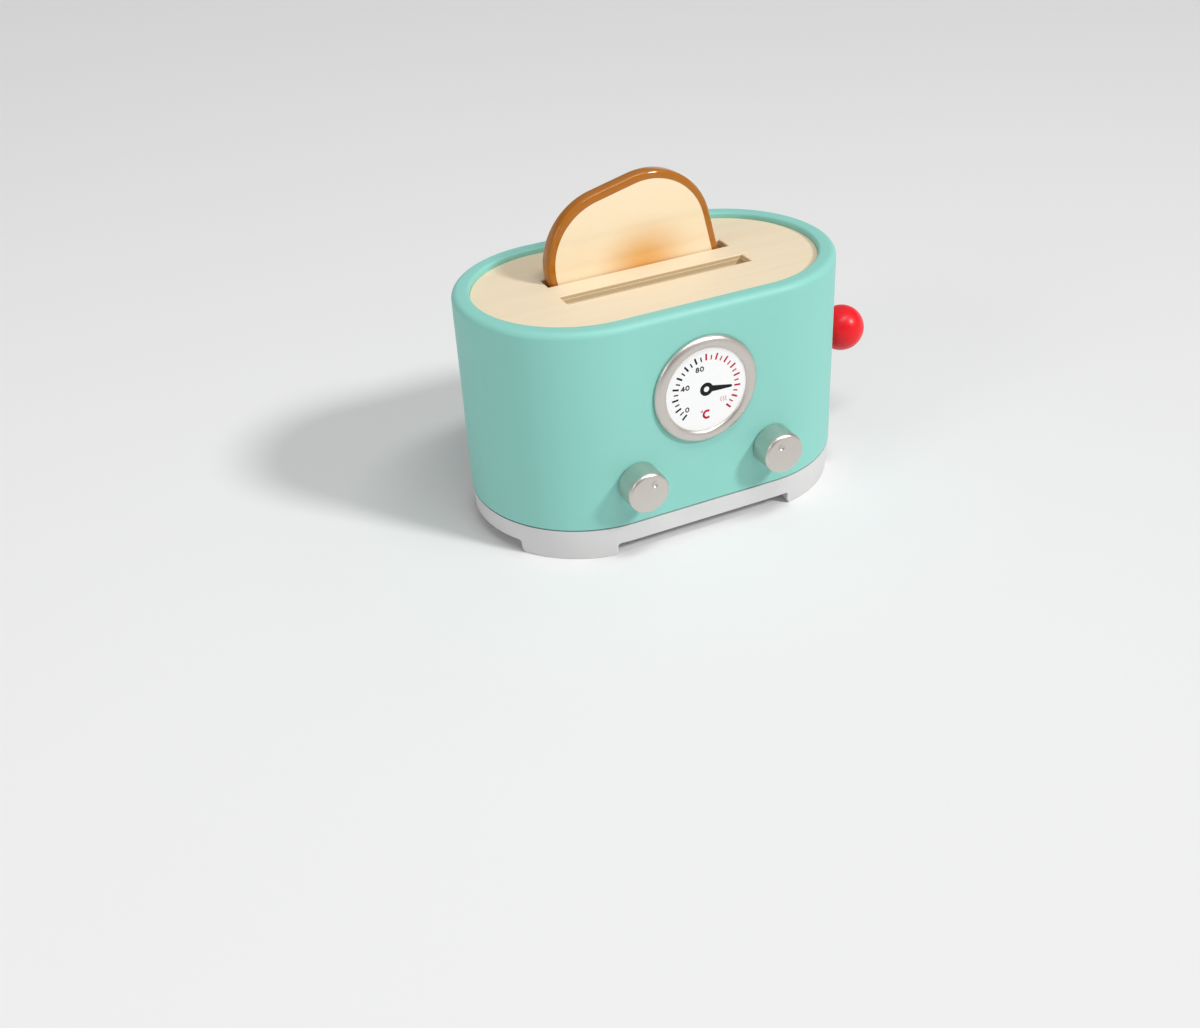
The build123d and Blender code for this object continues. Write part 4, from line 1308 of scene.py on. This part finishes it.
def make_lever_arm():
    """The lever's round bar, chamfered at both ends."""
    radius = half_of("lever_arm")[2]
    length = 2 * half_of("lever_arm")[0]
    _, y, z = middle_of("lever_arm")
    profile = [
        (0, 0),
        (radius - joint_chamfer, 0),
        (radius, joint_chamfer),
        (radius, length - joint_chamfer),
        (radius - joint_chamfer, length),
        (0, length),
    ]
    inner_end = Vector((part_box("lever_arm")[0].x, y, z))
    return smooth(turn("lever_bar", profile, inner_end, X, bar_steps))


def make_ball():
    """The red ball, with the lever's socket in the side that faces the housing."""
    radius = half_of("lever_ball")[2]
    socket_radius = half_of("lever_arm")[2] + socket_fit
    _, y, z = middle_of("lever_ball")
    centre = Vector((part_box("lever_ball")[1].x - radius, y, z))
    mouth = degrees(acos(socket_radius / radius))
    socket_floor = socket_depth - radius
    surface = [(max(a, 0), b) for a, b in arc((0, 0), radius, -mouth, 90, 72)]
    profile = [(0, socket_floor), (socket_radius, socket_floor), *surface]
    return smooth(turn("lever_ball_lacquered", profile, centre, X, ball_steps), 60)


for side, dimple_angle in dimple_angles.items():
    knob = make_knob(side, dimple_angle)
    stand_in(knob, f"{side}_knob", f"{side}_knob_unit")
stand_in(make_lever_arm(), "lever_arm", "lever_unit")
stand_in(make_ball(), "lever_ball", "lever_unit")


# ---- Springs ----


def make_spring(along, radius, length, turns):
    """A spring of round wire, wound along an axis from the origin and closed at both ends."""
    upright = along == Z
    start = (X if upright else Y) * radius
    stand = (pi / 2 if upright else 0, 0, 0)
    wire = {"vertices": wire_steps, "radius": spring_wire / 2}
    deselect()
    bpy.ops.mesh.primitive_circle_add(location=start, rotation=stand, **wire)
    spring = settle(bpy.context.object)
    rise = length - spring_wire
    coil = {"axis": "Z" if upright else "X", "screw_offset": rise / turns, "iterations": turns}
    apply_modifier(spring, "SCREW", steps=spring_steps, render_steps=spring_steps, **coil)
    bpy.ops.object.mode_set(mode="EDIT")
    for far_end in (False, True):

        def at_end(edge):
            is_far = edge.verts[0].co.dot(along) > rise / 2
            return edge.is_boundary and is_far == far_end

        select(spring, "EDGE", at_end)
        bpy.ops.mesh.edge_face_add()
    return close_up(spring)


def make_spring_pair(node, along, radius, turns):
    """A spring and its copy, wound along an axis in a node's box, in place of the node's own."""
    low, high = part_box(node)
    half = Vector((1, 1, 1)) * (radius + spring_wire / 2)
    first = low + half + along * (spring_wire / 2 - half.dot(along))
    places = [first, first + Y * (high.y - low.y - 2 * half.y)]
    spring = make_spring(along, radius, (high - low).dot(along), turns)
    spring.name = node[:-1] + "_pair"
    spring.location = places[0]
    pair = smooth(repeat(settle(spring), places), 60)
    stand_in(pair, node, "toaster_body")
    return pair


return_pair = make_spring_pair(
    "return_springs", Z, return_spring_radius, return_spring_turns
)
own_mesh(return_pair)
make_spring_pair("cell_springs", X, cell_spring_radius, cell_spring_turns)


# ---- Toast ----


def toast_outline():
    """The slice's outline in its own plane, anticlockwise from its right side."""
    half = toast_width / 2 - toast_trim
    top = toast_height / 2 - toast_trim
    big = toast_top_radius
    small = toast_foot_radius
    return [
        *arc((half - big, top - big), big, 0, 90, 40),
        *arc((-half + big, top - big), big, 90, 180, 40),
        *arc((-half + small, -top + small), small, 180, 270, 10),
        *arc((half - small, -top + small), small, 270, 360, 10),
    ]


def round_off(piece, side):
    """Round one face of the slice off to its edge."""
    select(piece, "FACE", lambda face: face.normal.y * side > 0.99)
    steps = [radians(90 * i / toast_edge_steps) for i in range(toast_edge_steps + 1)]
    curve = [(toast_edge_radius * (1 - cos(a)), toast_edge_radius * sin(a)) for a in steps]
    for (inset, depth), (next_inset, next_depth) in zip(curve, curve[1:]):
        bpy.ops.mesh.inset(thickness=next_inset - inset, depth=next_depth - depth)


def make_toast():
    """A slice with rounded edges."""
    centre = toast_centre()
    lean = Matrix.Rotation(-toast_tilt, 3, Y)
    back = Y * (half_of("toast")[1] - toast_edge_radius)
    loop = [centre + back + lean @ Vector((a, 0, b)) for a, b in toast_outline()]
    piece = extruded("toast_slice", loop, -2 * back)
    edit(piece)
    for side in (-1, 1):
        round_off(piece, side)
    return smooth(leave(piece))


stand_in(make_toast(), "toast", "toast_slice")


# ---- Studio ----

camera_place = Vector((-0.29693, -0.56881, 0.38895))
camera_turn = Euler((radians(57.311), radians(2.876), radians(-25.184)))
camera_lens = 41.117
sensor_width = 36
floor_size = 40
sky_horizon = 0.49
sky_middle = 0.15
sky_overhead = 0.53
sky_stops = [(0, sky_horizon), (0.12, sky_horizon), (0.36, sky_middle), (1, sky_overhead)]
backdrop_boost = 1.26
light_aim = Vector((body_x, body_y, rim_top / 2))
key_place = Vector((1.2, -1.5, 1.6))
key_strength = 1.66
key_spread = radians(9)
top_place = Vector((0.12, -0.58, 1.5))
top_size = (0.9, 0.2)
top_power = 6.5
side_place = Vector((-1.5, -0.5, 0.9))
side_size = (0.5, 0.5)
side_power = 3


def make_floor():
    """A wide pale floor."""
    deselect()
    bpy.ops.mesh.primitive_plane_add(size=floor_size)
    floor = bpy.context.object
    floor.name = "studio_floor"
    finish = Finish("studio_paper", Roughness=0.9, Specular_IOR_Level=0.1)
    finish.colour(finish.blend(finish.noise(2), (0.86, 0.86, 0.86, 1), (0.88, 0.88, 0.88, 1)))
    floor.data.materials.append(finish.material)


def make_sky():
    """Soft light from all round, palest at the horizon and overhead. The camera, metal and gloss see
    it as pale as the floor."""
    world = bpy.data.worlds.new("studio_light")
    bpy.context.scene.world = world
    world.use_nodes = True
    tree = world.node_tree
    add = tree.nodes.new
    link = tree.links.new
    background = tree.nodes["Background"]
    parts = add("ShaderNodeSeparateXYZ")
    fade = add("ShaderNodeValToRGB")
    stops = fade.color_ramp.elements
    fade.color_ramp.interpolation = "EASE"
    while len(stops) < len(sky_stops):
        stops.new(0.5)
    for element, (position, level) in zip(stops, sky_stops):
        element.position = position
        element.color = (level, level, level, 1)
    link(add("ShaderNodeTexCoord").outputs["Generated"], parts.inputs["Vector"])
    link(parts.outputs["Z"], fade.inputs["Fac"])
    link(fade.outputs["Color"], background.inputs["Color"])
    rays = add("ShaderNodeLightPath").outputs
    seen = rays["Is Camera Ray"]
    for kind in ("Is Glossy Ray", "Is Transmission Ray"):
        either = add("ShaderNodeMath")
        either.operation = "MAXIMUM"
        link(seen, either.inputs[0])
        link(rays[kind], either.inputs[1])
        seen = either.outputs[0]
    strength = add("ShaderNodeMapRange")
    strength.inputs["To Min"].default_value = 1
    strength.inputs["To Max"].default_value = backdrop_boost
    link(seen, strength.inputs["Value"])
    link(strength.outputs["Result"], background.inputs["Strength"])


def make_light(kind, name, place, energy, **settings):
    """A light aimed at the middle of the toaster."""
    deselect()
    bpy.ops.object.light_add(type=kind, location=place)
    light = bpy.context.object
    light.name = name
    light.data.energy = energy
    for setting, value in settings.items():
        setattr(light.data, setting, value)
    light.rotation_euler = (place - light_aim).to_track_quat("Z", "Y").to_euler()


def make_lamp(name, place, size, power):
    """A soft oblong lamp."""
    make_light("AREA", name, place, power, shape="RECTANGLE", size=size[0], size_y=size[1])


def make_camera():
    """The camera."""
    deselect()
    bpy.ops.object.camera_add(location=camera_place, rotation=camera_turn)
    camera = bpy.context.object
    camera.data.sensor_fit = "HORIZONTAL"
    camera.data.sensor_width = sensor_width
    camera.data.lens = camera_lens
    camera.data.clip_end = 3 * floor_size
    bpy.context.scene.camera = camera


make_floor()
make_sky()
make_light("SUN", "key_light", key_place, key_strength, angle=key_spread)
make_lamp("top_lamp", top_place, top_size, top_power)
make_lamp("side_lamp", side_place, side_size, side_power)
make_camera()
bpy.context.scene.view_settings.view_transform = "Standard"
